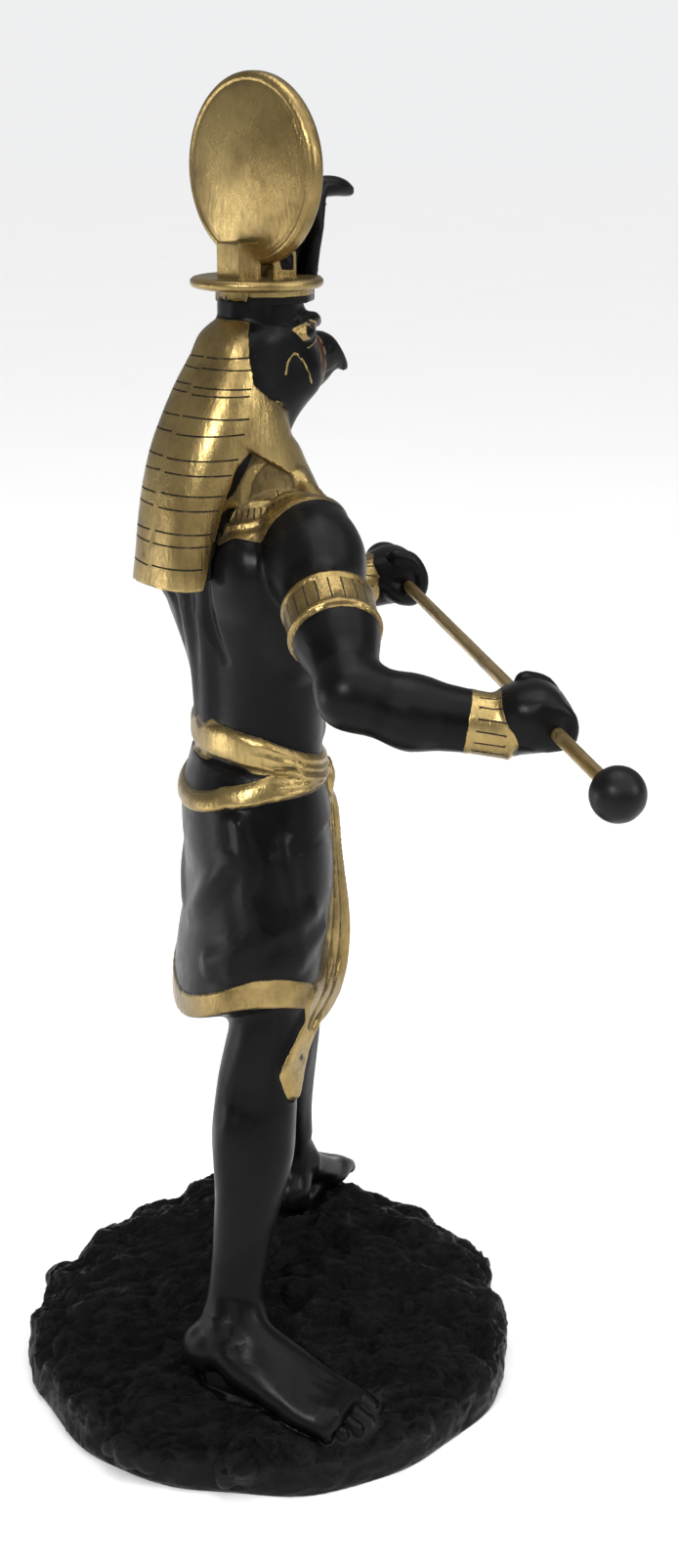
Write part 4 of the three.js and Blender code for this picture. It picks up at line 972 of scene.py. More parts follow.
# %% Mound
MOUND_RIM = 80.0
LEFT_HUMP = (9.5, 50, -15, 28)
TOES_DENT = (1.8, -72, -16, 16)
STONES = (
    ((-59, 54.5, -12), (5, 3, 3.4), 40), ((-54, 59, -12.5), (3, 2.4, 2.6), 10),
    ((-63.6, 49, -12.6), (4, 2.4, 2.6), 60), ((-76.4, 20, -10), (3, 5.5, 5), 10),
    ((-75.6, 26, -12), (2.4, 3.4, 4), 0), ((-76.6, 13, -12), (2.4, 3.6, 3.4), 0),
    ((-68, -36, -10), (4, 3, 3), 40), ((38, 66, -10), (6, 3, 4), 60),
    ((71, 30, -11), (3, 6, 4), 10), ((20, -74, -11), (6, 3, 4), 80),
)


def swelling(x, y, height, left, back, spread):
    """A smooth rise of the ground round one place."""
    return height * np.exp(-((x - left) ** 2 + (y - back) ** 2) / (2 * spread**2))


def mound_top(x, y):
    share = np.minimum(1, np.sqrt(x**2 + y**2) / MOUND_RIM)
    hump = swelling(x, y, *LEFT_HUMP) - swelling(x, y, *TOES_DENT)
    return MOUND_HEIGHT * (0.6 + 0.74 * np.sqrt(1 - share**2)) + hump - 0.6 - 2 * np.maximum(y, 0) / MOUND_RIM


def mound_distance(x, y, z):
    reach = np.sqrt(x**2 + y**2)
    angle = np.arctan2(y, x)
    wave = np.sin(7 * angle + 0.05 * reach) + 0.6 * np.sin(13 * angle - 0.09 * reach)
    height = z + MOUND_HEIGHT
    side = MOUND_RIM + 0.8 * wave - 0.012 * (height - MOUND_HEIGHT * 0.3) ** 2
    out = reach - side
    up = (height - mound_top(x, y) - 0.5 * wave) * 0.9
    edge = 8.0
    soft = np.maximum(edge - np.abs(out - up), 0) / edge
    return np.maximum(np.maximum(out, up) + soft * soft * edge / 4, -height)


body_forms = clay.painted["black"] + clay.painted["gold"]
clay.add(Form(mound_distance, [-84, -84, -22], [84, 84, 24]), 1)
for place, halves, yaw in STONES:
    clay.add(egg(place, halves, yaw), 2)
print("mound modelled, stones:", len(STONES))

# %% [markdown]
# ## From clay to mesh
#
# OpenVDB draws the skin where the distance is nothing. A triangle costs the same on a flat thigh as
# on a toe, so Decimate takes most of them from where the skin is flat.

# %% Skin of the clay
def skin_of(clay):
    """The clay's skin as points and faces, in clay units."""
    limit = 3 * clay.cell
    grid = openvdb.FloatGrid(limit)
    grid.copyFromArray(np.clip(clay.values, -limit, limit))
    points, triangles, quads = grid.convertToPolygons(0.0, 0.0)
    start = np.array([axis[0] for axis in clay.axes])
    points = points * clay.cell + start
    a, b, c, d = (points[quads[:, k]] for k in range(4))
    volume = np.einsum("ij,ij->i", a, np.cross(b, c)).sum() + np.einsum("ij,ij->i", a, np.cross(c, d)).sum()
    return points, quads if volume > 0 else quads[:, ::-1]


def link(name, mesh):
    made = bpy.data.objects.new(name, mesh)
    bpy.context.scene.collection.objects.link(made)
    return made


def to_metres(points):
    """Places of the frame, in metres, from clay units."""
    places = np.asarray(points, float) * UNIT * METRES
    places[..., 2] += MOUND_HEIGHT * METRES
    return places


def to_clay(places):
    points = np.array(places, float)
    points[..., 2] -= MOUND_HEIGHT * METRES
    return points / (UNIT * METRES)


def mesh_object(name, points, faces, edges=()):
    """A mesh object from points in clay units."""
    mesh = bpy.data.meshes.new(name)
    edges = [list(map(int, edge)) for edge in edges]
    faces = [list(map(int, face)) for face in faces]
    mesh.from_pydata(to_metres(points), edges, faces)
    return link(name, mesh)


def applied(thing):
    """Makes an object's modifiers part of its mesh, and removes them."""
    graph = bpy.context.evaluated_depsgraph_get()
    made = thing.evaluated_get(graph)
    mesh = bpy.data.meshes.new_from_object(made, preserve_all_data_layers=True, depsgraph=graph)
    thing.modifiers.clear()
    old = thing.data
    thing.data = mesh
    bpy.data.meshes.remove(old)
    return thing


def mesh_points(thing):
    places = np.empty(len(thing.data.vertices) * 3)
    thing.data.vertices.foreach_get("co", places)
    return to_clay(places.reshape(-1, 3))


def set_layer(thing, name, values):
    """Stores a number for each point of a mesh."""
    layer = thing.data.attributes.get(name) or thing.data.attributes.new(name, "FLOAT", "POINT")
    layer.data.foreach_set("value", np.asarray(values, np.float32))


points, quads = skin_of(clay)
print("skin: %d points, %d quads" % (len(points), len(quads)))
figure = mesh_object("casting", points, quads)
painted = bpy.data.materials.new("painted_resin")
engraved = bpy.data.materials.new("engraved_line")
figure.data.materials.append(painted)

# %% [markdown]
# ## Rock by Geometry Nodes
#
# The mound looks like split bark or slate: long wavy ridges that run across it. The tree below reads
# a mask called `rock`, makes ridges from one bent and stretched noise and lumps from another, and
# moves each point along its normal. Its inputs are the depth, the grain size and a seed, so another
# mound is one number away.

# %% A helper for trees
def node_group(name, inputs):
    """A geometry tree with a Geometry input and output, and named inputs (name, socket type, value)."""
    tree = bpy.data.node_groups.new(name, "GeometryNodeTree")
    tree.interface.new_socket("Geometry", in_out="INPUT", socket_type="NodeSocketGeometry")
    for label, kind, value in inputs:
        socket = tree.interface.new_socket(label, in_out="INPUT", socket_type=kind)
        if value is not None:
            socket.default_value = value
    tree.interface.new_socket("Geometry", in_out="OUTPUT", socket_type="NodeSocketGeometry")
    return tree


def wire(tree, node, links):
    """Wires a node's inputs to sockets, or fills them with values, by name or number."""
    for socket, value in links.items():
        if isinstance(value, bpy.types.NodeSocket):
            tree.links.new(value, node.inputs[socket])
        else:
            node.inputs[socket].default_value = value


def put(tree, kind, links=None, **settings):
    """Adds a node, sets its options, and wires its inputs."""
    made = tree.nodes.new(kind)
    for name, value in settings.items():
        setattr(made, name, value)
    wire(tree, made, links or {})
    return made


def maths(tree, operation, *values):
    return put(tree, "ShaderNodeMath", dict(enumerate(values)), operation=operation).outputs[0]


def vectors(tree, operation, first, second):
    """Sums of vectors. To scale one, the second value is a number."""
    inputs = {0: first, "Scale" if operation == "SCALE" else 1: second}
    return put(tree, "ShaderNodeVectorMath", inputs, operation=operation).outputs[0]


def run_tree(thing, tree, values):
    """Runs a geometry tree on an object with values for its named inputs, and keeps the plain mesh."""
    modifier = thing.modifiers.new(tree.name, "NODES")
    modifier.node_group = tree
    names = {item.name: item.identifier for item in tree.interface.items_tree if item.in_out == "INPUT"}
    for label, value in values.items():
        modifier[names[label]] = value
    return applied(thing)


# %% The rock's tree
ALONG_RIDGES = (1.0, 0.32, 0.8)
BEND = 0.018
CREST_WIDTH = 0.13
CREST_HEIGHT = 7.0
LUMP_HEIGHT = 3.0

rock_tree = node_group("rock_relief", [
    ("Depth", "NodeSocketFloat", 0.001),
    ("Grain", "NodeSocketFloat", 0.006),
    ("Seed", "NodeSocketFloat", 4.0),
])
start = put(rock_tree, "NodeGroupInput").outputs
place = put(rock_tree, "GeometryNodeInputPosition").outputs[0]
normal = put(rock_tree, "GeometryNodeInputNormal").outputs[0]
named = put(rock_tree, "GeometryNodeInputNamedAttribute", {"Name": "rock"}, data_type="FLOAT")
bend = put(rock_tree, "ShaderNodeTexNoise", {"Vector": place, "Scale": 45.0, "Detail": 2.0})
shift = vectors(rock_tree, "SUBTRACT", bend.outputs["Color"], (0.5, 0.5, 0.5))
bent = vectors(rock_tree, "ADD", place, vectors(rock_tree, "SCALE", shift, BEND))
broad = put(rock_tree, "ShaderNodeTexNoise", {
    "Vector": vectors(rock_tree, "MULTIPLY", bent, ALONG_RIDGES),
    "W": start["Seed"],
    "Scale": maths(rock_tree, "DIVIDE", 1.0, start["Grain"]),
    "Detail": 4.0,
    "Roughness": 0.55,
}, noise_dimensions="4D")
crest = maths(rock_tree, "ABSOLUTE", maths(rock_tree, "SUBTRACT", broad.outputs["Fac"], 0.5))
crest = maths(rock_tree, "MULTIPLY", maths(rock_tree, "SUBTRACT", CREST_WIDTH, crest), CREST_HEIGHT)
lumps = put(rock_tree, "ShaderNodeTexNoise", {"Vector": place, "Scale": 70.0, "Detail": 1.0})
lumps = maths(rock_tree, "SUBTRACT", lumps.outputs["Fac"], 0.5)
lift = maths(rock_tree, "MULTIPLY_ADD", lumps, LUMP_HEIGHT, crest)
lift = maths(rock_tree, "MULTIPLY", lift, named.outputs["Attribute"])
lift = maths(rock_tree, "MULTIPLY", lift, start["Depth"])
move = vectors(rock_tree, "SCALE", normal, lift)
moved = put(rock_tree, "GeometryNodeSetPosition", {"Geometry": start["Geometry"], "Offset": move})
whole = put(rock_tree, "GeometryNodeRealizeInstances", {"Geometry": moved.outputs[0]})
put(rock_tree, "NodeGroupOutput", {0: whole.outputs[0]})

# %% The mask, and the relief itself
def soft_step(values, low, high):
    t = np.clip((values - low) / (high - low), 0, 1)
    return t * t * (3 - 2 * t)


def nearest_of(forms, points, reach=6.0):
    """The smallest distance from each point to a group of forms."""
    found = np.full(len(points), reach)
    for form in forms:
        near = np.all((points > form.low - reach) & (points < form.high + reach), axis=1)
        if near.any():
            x, y, z = points[near].astype(np.float32).T
            found[near] = np.minimum(found[near], form.distance(x, y, z))
    return found


def rock_mask(points):
    """One on bare rock, nothing on the figure and under the base, and less on the band at its edge."""
    low = points[:, 2] < 24
    mask = np.zeros(len(points))
    near = points[low]
    body = nearest_of(body_forms, near, 9.0)
    rise = near[:, 2] + MOUND_HEIGHT
    band = 0.3 + 0.7 * soft_step(rise, 7, 14)
    mask[low] = soft_step(body, 0.2, 4.5) * soft_step(rise, 0.4, 2.5) * band
    return mask


set_layer(figure, "rock", rock_mask(points))
run_tree(figure, rock_tree, {"Depth": 0.0036, "Grain": 0.0095, "Seed": 4.0})
print("rock relief moved the mound's skin")

# %% Fewer faces where the skin is flat
CASTING_TRIANGLES = 132000


def thin_out(thing, triangles):
    modifier = thing.modifiers.new("thin", "DECIMATE")
    modifier.ratio = min(1.0, triangles / (2 * len(thing.data.polygons)))
    modifier.use_collapse_triangulate = True
    applied(thing)


thin_out(figure, CASTING_TRIANGLES)
print("thinned to %d faces" % len(figure.data.polygons))

# %% [markdown]
# ## The crown
#
# The disc, its foot, the ring plate and the faceted drum under it are crisp, as if turned and filed.
# Clay would round them, so they are turned as profiles and joined to the casting with a solid union.

# %% Turned plates
def there_and_back(face, rim=()):
    """A profile whose underside is like its face."""
    return [*face, *rim, *((reach, -rise) for reach, rise in reversed(face))]


def plate_points(radius, thickness, lip, dome=0.0):
    """A turned plate as a profile: a domed face, a groove inside a rounded lip, and a back alike."""
    half = thickness / 2
    face = [(0.0, half + dome)]
    for share in (0.15, 0.3, 0.45, 0.6, 0.72, 0.82, 0.9):
        face.append((radius * share * 0.93, half + dome * (1 - share**2)))
    for inward, rise in ((1.75, dome * 0.1), (1.5, -0.28), (1.2, -0.22)):
        face.append((radius - lip * inward, half + rise))
    for angle in np.radians([90, 68, 45, 22, 0]):
        face.append((radius - lip + lip * math.cos(angle), half - lip + lip * math.sin(angle)))
    return there_and_back(face)


def turned_solid(profile, sides, turn=0.0):
    """A closed solid from a profile of (radius, height) that starts and ends on the axis z."""
    rings = profile[1:-1]
    points = [(0, 0, profile[0][1])]
    for radius, height in rings:
        for k in range(sides):
            angle = 2 * math.pi * k / sides + turn
            points.append((radius * math.cos(angle), radius * math.sin(angle), height))
    points.append((0, 0, profile[-1][1]))
    faces = []
    last = len(points) - 1
    for k in range(sides):
        after = (k + 1) % sides
        faces.append([0, 1 + k, 1 + after])
        for r in range(len(rings) - 1):
            a, b = 1 + r * sides, 1 + (r + 1) * sides
            faces.append([a + k, b + k, b + after, a + after])
        base = 1 + (len(rings) - 1) * sides
        faces.append([last, base + after, base + k])
    return np.array(points, float), faces


def place_part(name, solid, centre, axes=np.eye(3)):
    points, faces = solid
    return mesh_object(name, points @ np.asarray(axes).T + np.asarray(centre), faces)


def box_part(name, centre, halves, yaw, bevel):
    corners = [(x, y, z) for x in (-1, 1) for y in (-1, 1) for z in (-1, 1)]
    faces = [[0, 1, 3, 2], [4, 6, 7, 5], [0, 4, 5, 1], [2, 3, 7, 6], [0, 2, 6, 4], [1, 5, 7, 3]]
    made = place_part(name, (np.array(corners, float) * halves, faces), centre, turning(yaw))
    modifier = made.modifiers.new("edges", "BEVEL")
    modifier.width = bevel * UNIT * METRES
    modifier.segments = 2
    return applied(made)


def combine(base, other, operation):
    """Joins another solid to the base, or cuts it away, and removes it."""
    modifier = base.modifiers.new("combine", "BOOLEAN")
    modifier.operation = operation
    modifier.solver = "MANIFOLD"
    modifier.material_mode = "TRANSFER"
    modifier.object = other
    applied(base)
    bpy.data.objects.remove(other)


DISC_RADIUS = 26.4
FACING = turning(DISC_TURN, 90)
disc_profile = plate_points(DISC_RADIUS, 5.4, 1.9, 1.5)
shelf_face = [(0, 1.6), (8, 1.6), (14, 1.6), (17.4, 1.6), (18.4, 1.35), (19.1, 0.7)]
shelf_profile = there_and_back(shelf_face, [(19.2, 0)])
drum_profile = [(0, 2.6), (8, 2.6), (13.9, 2.6), (14.3, 2.2), (14.3, -1.9), (13.9, -2.3), (8, -2.3),
                (0, -2.3)]
disc_centre = on_head(0, -0.4, POSE_HEIGHT - DISC_RADIUS)
crown = [
    place_part("drum", turned_solid(drum_profile, 10, 0.2), on_head(0, 3, 331.4)),
    place_part("shelf", turned_solid(shelf_profile, 72), on_head(0, 0, 334.7)),
    place_part("disc", turned_solid(disc_profile, 96), disc_centre, FACING),
    box_part("foot", on_head(0, -6.4, 339.5), [5, 4.2, 6.5], DISC_TURN, 0.5),
    box_part("mortise", on_head(0, 5.6, 338), [6, 4.4, 5], DISC_TURN, 0.5),
    box_part("post", on_head(0, 10.6, 343), [2.6, 2.4, 9], DISC_TURN, 0.5),
]
for part in crown:
    part.data.materials.append(painted)
    combine(figure, part, "UNION")
print("with its crown the casting has %d faces" % len(figure.data.polygons))

# %% [markdown]
# ## Engraving by Geometry Nodes
#
# Lines in the headcloth, rows of ticks in the collar and strokes on the armlets are cut with one
# small round tool. The tree takes guide lines that only roughly follow the surface, lays them on the
# casting, and runs the tool along them at a set depth. A solid difference then cuts them in.

# %% The engraver's tree
engraver = node_group("engraver", [
    ("Casting", "NodeSocketObject", None),
    ("Tool", "NodeSocketFloat", 0.0004),
    ("Depth", "NodeSocketFloat", 0.0003),
    ("Step", "NodeSocketFloat", 0.0015),
    ("Finish", "NodeSocketMaterial", None),
])
start = put(engraver, "NodeGroupInput").outputs
surface = put(engraver, "GeometryNodeObjectInfo", {"Object": start["Casting"]}).outputs["Geometry"]


def on_surface(kind):
    """The place or normal of the casting where it is nearest."""
    value = put(engraver, kind).outputs[0]
    return put(engraver, "GeometryNodeSampleNearestSurface", {"Mesh": surface, "Value": value},
               data_type="FLOAT_VECTOR").outputs[0]


curves = put(engraver, "GeometryNodeMeshToCurve", {0: start["Geometry"]}).outputs[0]
even = put(engraver, "GeometryNodeResampleCurve", {"Curve": curves, "Length": start["Step"]}, mode="LENGTH")
above = maths(engraver, "SUBTRACT", start["Tool"], start["Depth"])
rise = vectors(engraver, "SCALE", on_surface("GeometryNodeInputNormal"), above)
target = vectors(engraver, "ADD", on_surface("GeometryNodeInputPosition"), rise)
laid_on = put(engraver, "GeometryNodeSetPosition", {"Geometry": even.outputs[0], "Position": target})
tool = put(engraver, "GeometryNodeCurvePrimitiveCircle", {"Resolution": 6, "Radius": start["Tool"]})
swept = put(engraver, "GeometryNodeCurveToMesh",
            {"Curve": laid_on.outputs[0], "Profile Curve": tool.outputs[0], "Fill Caps": True})
whole = put(engraver, "GeometryNodeRealizeInstances", {"Geometry": swept.outputs[0]}).outputs[0]
dressed = put(engraver, "GeometryNodeSetMaterial", {"Geometry": whole, "Material": start["Finish"]})
put(engraver, "NodeGroupOutput", {0: dressed.outputs[0]})

# %% Cutting the lines
def engrave(name, lines, tool, depth, step=1.4):
    """Cuts guide lines, given as lists of points in clay units, into the casting."""
    points, edges = [], []
    for line in lines:
        first = len(points)
        points += [np.asarray(point, float) for point in line]
        edges += [(first + k, first + k + 1) for k in range(len(line) - 1)]
    guide = mesh_object(name, np.array(points), [], edges)
    scale = UNIT * METRES
    run_tree(guide, engraver, {
        "Casting": figure,
        "Tool": tool * scale,
        "Depth": depth * scale,
        "Step": step * scale,
        "Finish": engraved,
    })
    before = len(figure.data.polygons)
    combine(figure, guide, "DIFFERENCE")
    print("%s: %d lines, faces %d -> %d" % (name, len(lines), before, len(figure.data.polygons)))


STRIPES = (315, 312, 307.3, 305.2, 299.3, 294.6, 288.1, 284.0, 278.2, 274.2, 267.4, 263.6, 257.3)
rng = np.random.default_rng(7)
cloth_lines = []
for height in STRIPES:
    for low, high in ((96, 178), (182, 264)):
        start_at, stop_at = low + rng.uniform(0, 6), high - rng.uniform(0, 3)
        wave, lift = rng.uniform(-0.3, 0.3, 2)
        line = []
        for bearing in np.linspace(start_at, stop_at, 14):
            line.append(tail.point(bearing, height + wave * math.sin(bearing / 25) + lift, 0.2))
        cloth_lines.append(line)
engrave("headcloth_lines", cloth_lines, 0.3, 0.36)

# %% [markdown]
# Rows of the collar are found rather than drawn: at each bearing round the neck, a search walks down
# the egg of that row to where it goes into the body. Ticks that the headcloth would cover are left
# out. The strokes on armlets and bracelets run round each band that was added to the arms.

# %% Collar ticks and strokes on the bands
TICK_GAPS = (7.0, 5.0, 4.0)
CLEAR_OF_CLOTH = 1.2
LONGEST_TICK = 8


def on_collar(bearing, share):
    """Where one row's egg goes down into the chest, at a bearing round it, or None."""
    angle = math.radians(bearing)
    tilts = np.linspace(1.3, -1.3, 180)
    local = np.array([math.sin(angle) * np.cos(tilts), math.cos(angle) * np.cos(tilts), np.sin(tilts)])
    size = share / np.sqrt(((local / np.array(COLLAR_HALVES)[:, None]) ** 2).sum(axis=0))
    left, forward, up = local * size
    places = COLLAR_CENTRE + (np.outer(left, on_chest(1, 0, 0)) + np.outer(forward, on_chest(0, 1, 0))
                              + np.outer(up, at(0, 0, 1)))
    rise = upper_body.distance(*places.T) - COLLAR_RISE
    enters = np.nonzero((rise[:-1] > 0) & (rise[1:] <= 0))[0]
    return places[enters[-1]] if len(enters) else None


ticks = []
over_collar = union(cloth, *lappets)
for upper, lower, gap in zip(COLLAR_ROWS, COLLAR_ROWS[1:], TICK_GAPS):
    for bearing in np.arange(-178, 178, gap):
        tick = [on_collar(bearing, mix(upper, lower, share)) for share in (0.22, 0.5, 0.78)]
        if all(point is not None for point in tick):
            clear = over_collar.distance(*np.array(tick).T).min()
            length = np.linalg.norm(tick[0] - tick[2])
            if clear > CLEAR_OF_CLOTH and length < LONGEST_TICK:
                ticks.append(tick)
print("ticks that clear the cloth:", len(ticks))
engrave("collar_ticks", ticks, 0.3, 0.36)


def band_strokes(start, end, share, count, half_length, radius):
    """Strokes along an arm, spaced evenly round a band."""
    length = np.linalg.norm(end - start)
    axis = (end - start) / length
    across = np.cross(axis, at(0, 0, 1))
    across /= np.linalg.norm(across)
    third = np.cross(axis, across)
    for angle in np.linspace(0, 2 * math.pi, count, endpoint=False):
        out = (across * math.cos(angle) + third * math.sin(angle)) * radius
        yield [mix(start, end, share + reach / length) + out for reach in (-half_length, 0, half_length)]


strokes = [stroke for band in bands for stroke in band_strokes(*band)]
engrave("band_strokes", strokes, 0.26, 0.3)

# %% [markdown]
# ## Paint
#
# The maker sprays the casting satin black and brushes gold over cloth, bands and crown, then rubs a
# dark wash into the lines. The gold's edge is a number stored on each point: how much nearer it is to
# a gold form than to a black one. The shader draws the edge where that number passes nothing.

# %% Finer faces on the face
def refine(thing, chosen, cuts):
    """Splits the faces whose corners are all chosen."""
    work = bmesh.new()
    work.from_mesh(thing.data)
    work.verts.ensure_lookup_table()
    edges = [edge for edge in work.edges if chosen[edge.verts[0].index] and chosen[edge.verts[1].index]]
    bmesh.ops.subdivide_edges(work, edges=edges, cuts=cuts, use_grid_fill=True)
    bmesh.ops.triangulate(work, faces=[face for face in work.faces if len(face.verts) > 3])
    work.to_mesh(thing.data)
    work.free()


def head_places(points):
    """Left, forward and height on the head."""
    left = points @ on_head(1, 0, 0)
    forward = points @ on_head(0, 1, 0)
    return left, forward, points[:, 2]


FACE_LOW, FACE_HIGH = 300, 328
CROWN_FROM = 330.2
ROCK_BELOW = 60

left, forward, height = head_places(mesh_points(figure))
refine(figure, (forward > -3) & (height > FACE_LOW) & (height < FACE_HIGH), 2)
points = mesh_points(figure)
print("the face is refined, %d faces in all" % len(figure.data.polygons))

# %% Where the gold lies
black = nearest_of(clay.painted["black"], points)
gold = nearest_of(clay.painted["gold"], points)
margin = black - gold
left, forward, height = head_places(points)
in_crown = height > CROWN_FROM
on_snake = in_crown & (forward > 12.6)
on_coil = in_crown & (forward > 3.4) & (height > 337) & (np.abs(left) > 2.4) & (black < 0.6)
margin = np.where(in_crown & ~on_snake, 3.0, margin)
margin = np.where(on_coil | (height < ROCK_BELOW), -3.0, margin)


def line_distance(u, v, line):
    """How far points of a plane are from a drawn line."""
    nearest = np.full(len(u), 99.0)
    for (u0, v0), (u1, v1) in zip(line, line[1:]):
        length = (u1 - u0) ** 2 + (v1 - v0) ** 2
        share = np.clip(((u - u0) * (u1 - u0) + (v - v0) * (v1 - v0)) / length, 0, 1)
        nearest = np.minimum(nearest, np.hypot(u - u0 - share * (u1 - u0), v - v0 - share * (v1 - v0)))
    return nearest


def inside_of(u, v, outline):
    """Distance to a closed outline, less than nothing inside it."""
    closed = outline + outline[:1]
    crossings = np.zeros(len(u), bool)
    for (u0, v0), (u1, v1) in zip(closed, closed[1:]):
        if v0 != v1:
            crossings ^= ((v0 > v) != (v1 > v)) & (u < (u1 - u0) * (v - v0) / (v1 - v0) + u0)
    return np.where(crossings, -1, 1) * line_distance(u, v, closed)


# On the face the paint is drawn in the plane of (forward, height), the same on both sides.
EYE = [(2.6, 321.9), (5, 322.9), (7.8, 323.6), (10.4, 322.8), (10.6, 320.4), (9, 318.6), (6.8, 318.4),
       (4.6, 320.4)]
PUPIL = (9.0, 320.9, 1.6)
CHEEK_MARK = [(-0.2, 309.6), (0.4, 312.7), (2.2, 315.2), (4.2, 315.0), (6.4, 312.4), (8.0, 309.2),
              (9.2, 306.4)]
UPPER_LINE = [(9.4, 324.2), (12.4, 323.4), (14.6, 321.4)]
LOWER_LINE = [(8.6, 316.4), (11.4, 317.0), (13.8, 318.4)]
CERE_BACK = [(14.4, 322), (17.2, 317.5), (18.2, 312), (17.4, 305)]
CERE_FRONT = [(17.2, 321.4), (20.2, 317.5), (21.4, 312), (20.8, 305)]
GOLD_LINES = ((CHEEK_MARK, 0.33), (UPPER_LINE, 0.24), (LOWER_LINE, 0.26), (CERE_BACK, 0.28),
              (CERE_FRONT, 0.28))

face = (height > 300) & (height < 326) & (np.abs(left) > 1.2) & (forward > -1)
in_pupil = PUPIL[2] - np.hypot(forward - PUPIL[0], height - PUPIL[1])
marks = np.minimum(-inside_of(forward, height, EYE), -in_pupil)
for line, half_width in GOLD_LINES:
    marks = np.maximum(marks, half_width - line_distance(forward, height, line))
margin = np.where(face & (margin < 0), np.maximum(margin, marks), margin)
set_layer(figure, "gold", np.clip(margin, -3, 3))
back, front = (np.interp(height, *zip(*sorted((z, u) for u, z in line)))
               for line in (CERE_BACK, CERE_FRONT))
on_cere = np.clip(np.minimum(forward - back, front - forward), -3, 3)
set_layer(figure, "cere", np.where(face, on_cere, -3))
print("painted edges stored")


# %% Where the wash and the painted shade settle
def hollows(thing, rounds):
    """How far each point lies in a hollow, in clay units: the way it moves when the skin is smoothed."""
    mesh = thing.data
    edges = np.empty(len(mesh.edges) * 2, np.int64)
    mesh.edges.foreach_get("vertices", edges)
    a, b = edges.reshape(-1, 2).T
    count = np.bincount(a, minlength=len(mesh.vertices)) + np.bincount(b, minlength=len(mesh.vertices))
    start = mesh_points(thing)
    moved = start.copy()
    for _ in range(rounds):
        for k in range(3):
            total = np.bincount(a, moved[b, k], len(count)) + np.bincount(b, moved[a, k], len(count))
            moved[:, k] = 0.5 * moved[:, k] + 0.5 * total / np.maximum(count, 1)
    normals = np.empty(len(mesh.vertices) * 3)
    mesh.vertex_normals.foreach_get("vector", normals)
    return ((moved - start) * normals.reshape(-1, 3)).sum(axis=1)


# How deep each point lies in a hollow: it darkens the gold as a wash and as painted shade, and lightens the
# black on edges as rubbed wear and as a painted highlight.
hollow_depth = hollows(figure, 12)
set_layer(figure, "hollow", np.where(in_crown, np.minimum(hollow_depth, 0.02), hollow_depth))
set_layer(figure, "rock", rock_mask(points))
figure.data.shade_smooth()
figure.data.set_sharp_from_angle(angle=math.radians(50))

# %% [markdown]
# ## Finishes
#
# One shader paints the casting. Gold is a metal with brush streaks, and its hollows hold a dark wash and
# painted shade.
# The black is a satin lacquer over resin: darker and smoother on the body, dustier on the rock. Fine
# grain comes from bump, because grain finer than a face can't be modelled.

# %% Helpers for shaders
def material(name):
    made = bpy.data.materials.get(name) or bpy.data.materials.new(name)
    made.use_nodes = True
    return made, made.node_tree, made.node_tree.nodes["Principled BSDF"]


def noise(tree, vector, scale, detail=4.0, roughness=0.5, stretch=(1, 1, 1)):
    mapping = put(tree, "ShaderNodeMapping", {"Vector": vector, "Scale": stretch})
    inputs = {"Vector": mapping.outputs[0], "Scale": scale, "Detail": detail, "Roughness": roughness}
    return put(tree, "ShaderNodeTexNoise", inputs).outputs["Fac"]


def ramp(tree, value, low, high, out_low=0.0, out_high=1.0):
    inputs = {"Value": value, "From Min": low, "From Max": high, "To Min": out_low, "To Max": out_high}
    return put(tree, "ShaderNodeMapRange", inputs, interpolation_type="SMOOTHSTEP").outputs["Result"]


def blend_colour(tree, share, first, second):
    """A mix of two colours, each a socket or (red, green, blue)."""
    first, second = ((*tone, 1) if isinstance(tone, tuple) else tone for tone in (first, second))
    return put(tree, "ShaderNodeMix", {0: share, 6: first, 7: second}, data_type="RGBA").outputs[2]


def blend_value(tree, share, first, second):
    return put(tree, "ShaderNodeMix", {0: share, 2: first, 3: second}, data_type="FLOAT").outputs[0]


def attribute(tree, name):
    return put(tree, "ShaderNodeAttribute", attribute_name=name).outputs["Fac"]


def bump(tree, height, distance, strength, normal=None):
    links = {"Height": height, "Distance": distance, "Strength": strength}
    if normal is not None:
        links["Normal"] = normal
    return put(tree, "ShaderNodeBump", links).outputs["Normal"]


# %% Painted resin
BRIGHT_GOLD, DARK_GOLD = (0.37, 0.27, 0.108), (0.235, 0.165, 0.064)
# The dark wash colour below also paints shade into the gold's hollows.
GOLD_WASH_AND_SHADE = (0.045, 0.032, 0.014)
BLACK, WORN_BLACK = (0.001, 0.001, 0.0013), (0.0022, 0.0021, 0.0023)
# The paler black below is for rubbed edges, and is also a painted highlight on them.
RUBBED_AND_HIGHLIT_BLACK = (0.008, 0.0074, 0.007)
ROCK_DUST = (0.009, 0.0083, 0.0076)
CERE_RED = (0.045, 0.016, 0.009)

painted, tree, shader = material("painted_resin")
where = put(tree, "ShaderNodeTexCoord").outputs["Object"]
hollow = attribute(tree, "hollow")
rocky = attribute(tree, "rock")
ragged = maths(tree, "MULTIPLY", maths(tree, "SUBTRACT", noise(tree, where, 700), 0.5), 0.4)
is_gold = ramp(tree, maths(tree, "ADD", attribute(tree, "gold"), ragged), -0.1, 0.1)

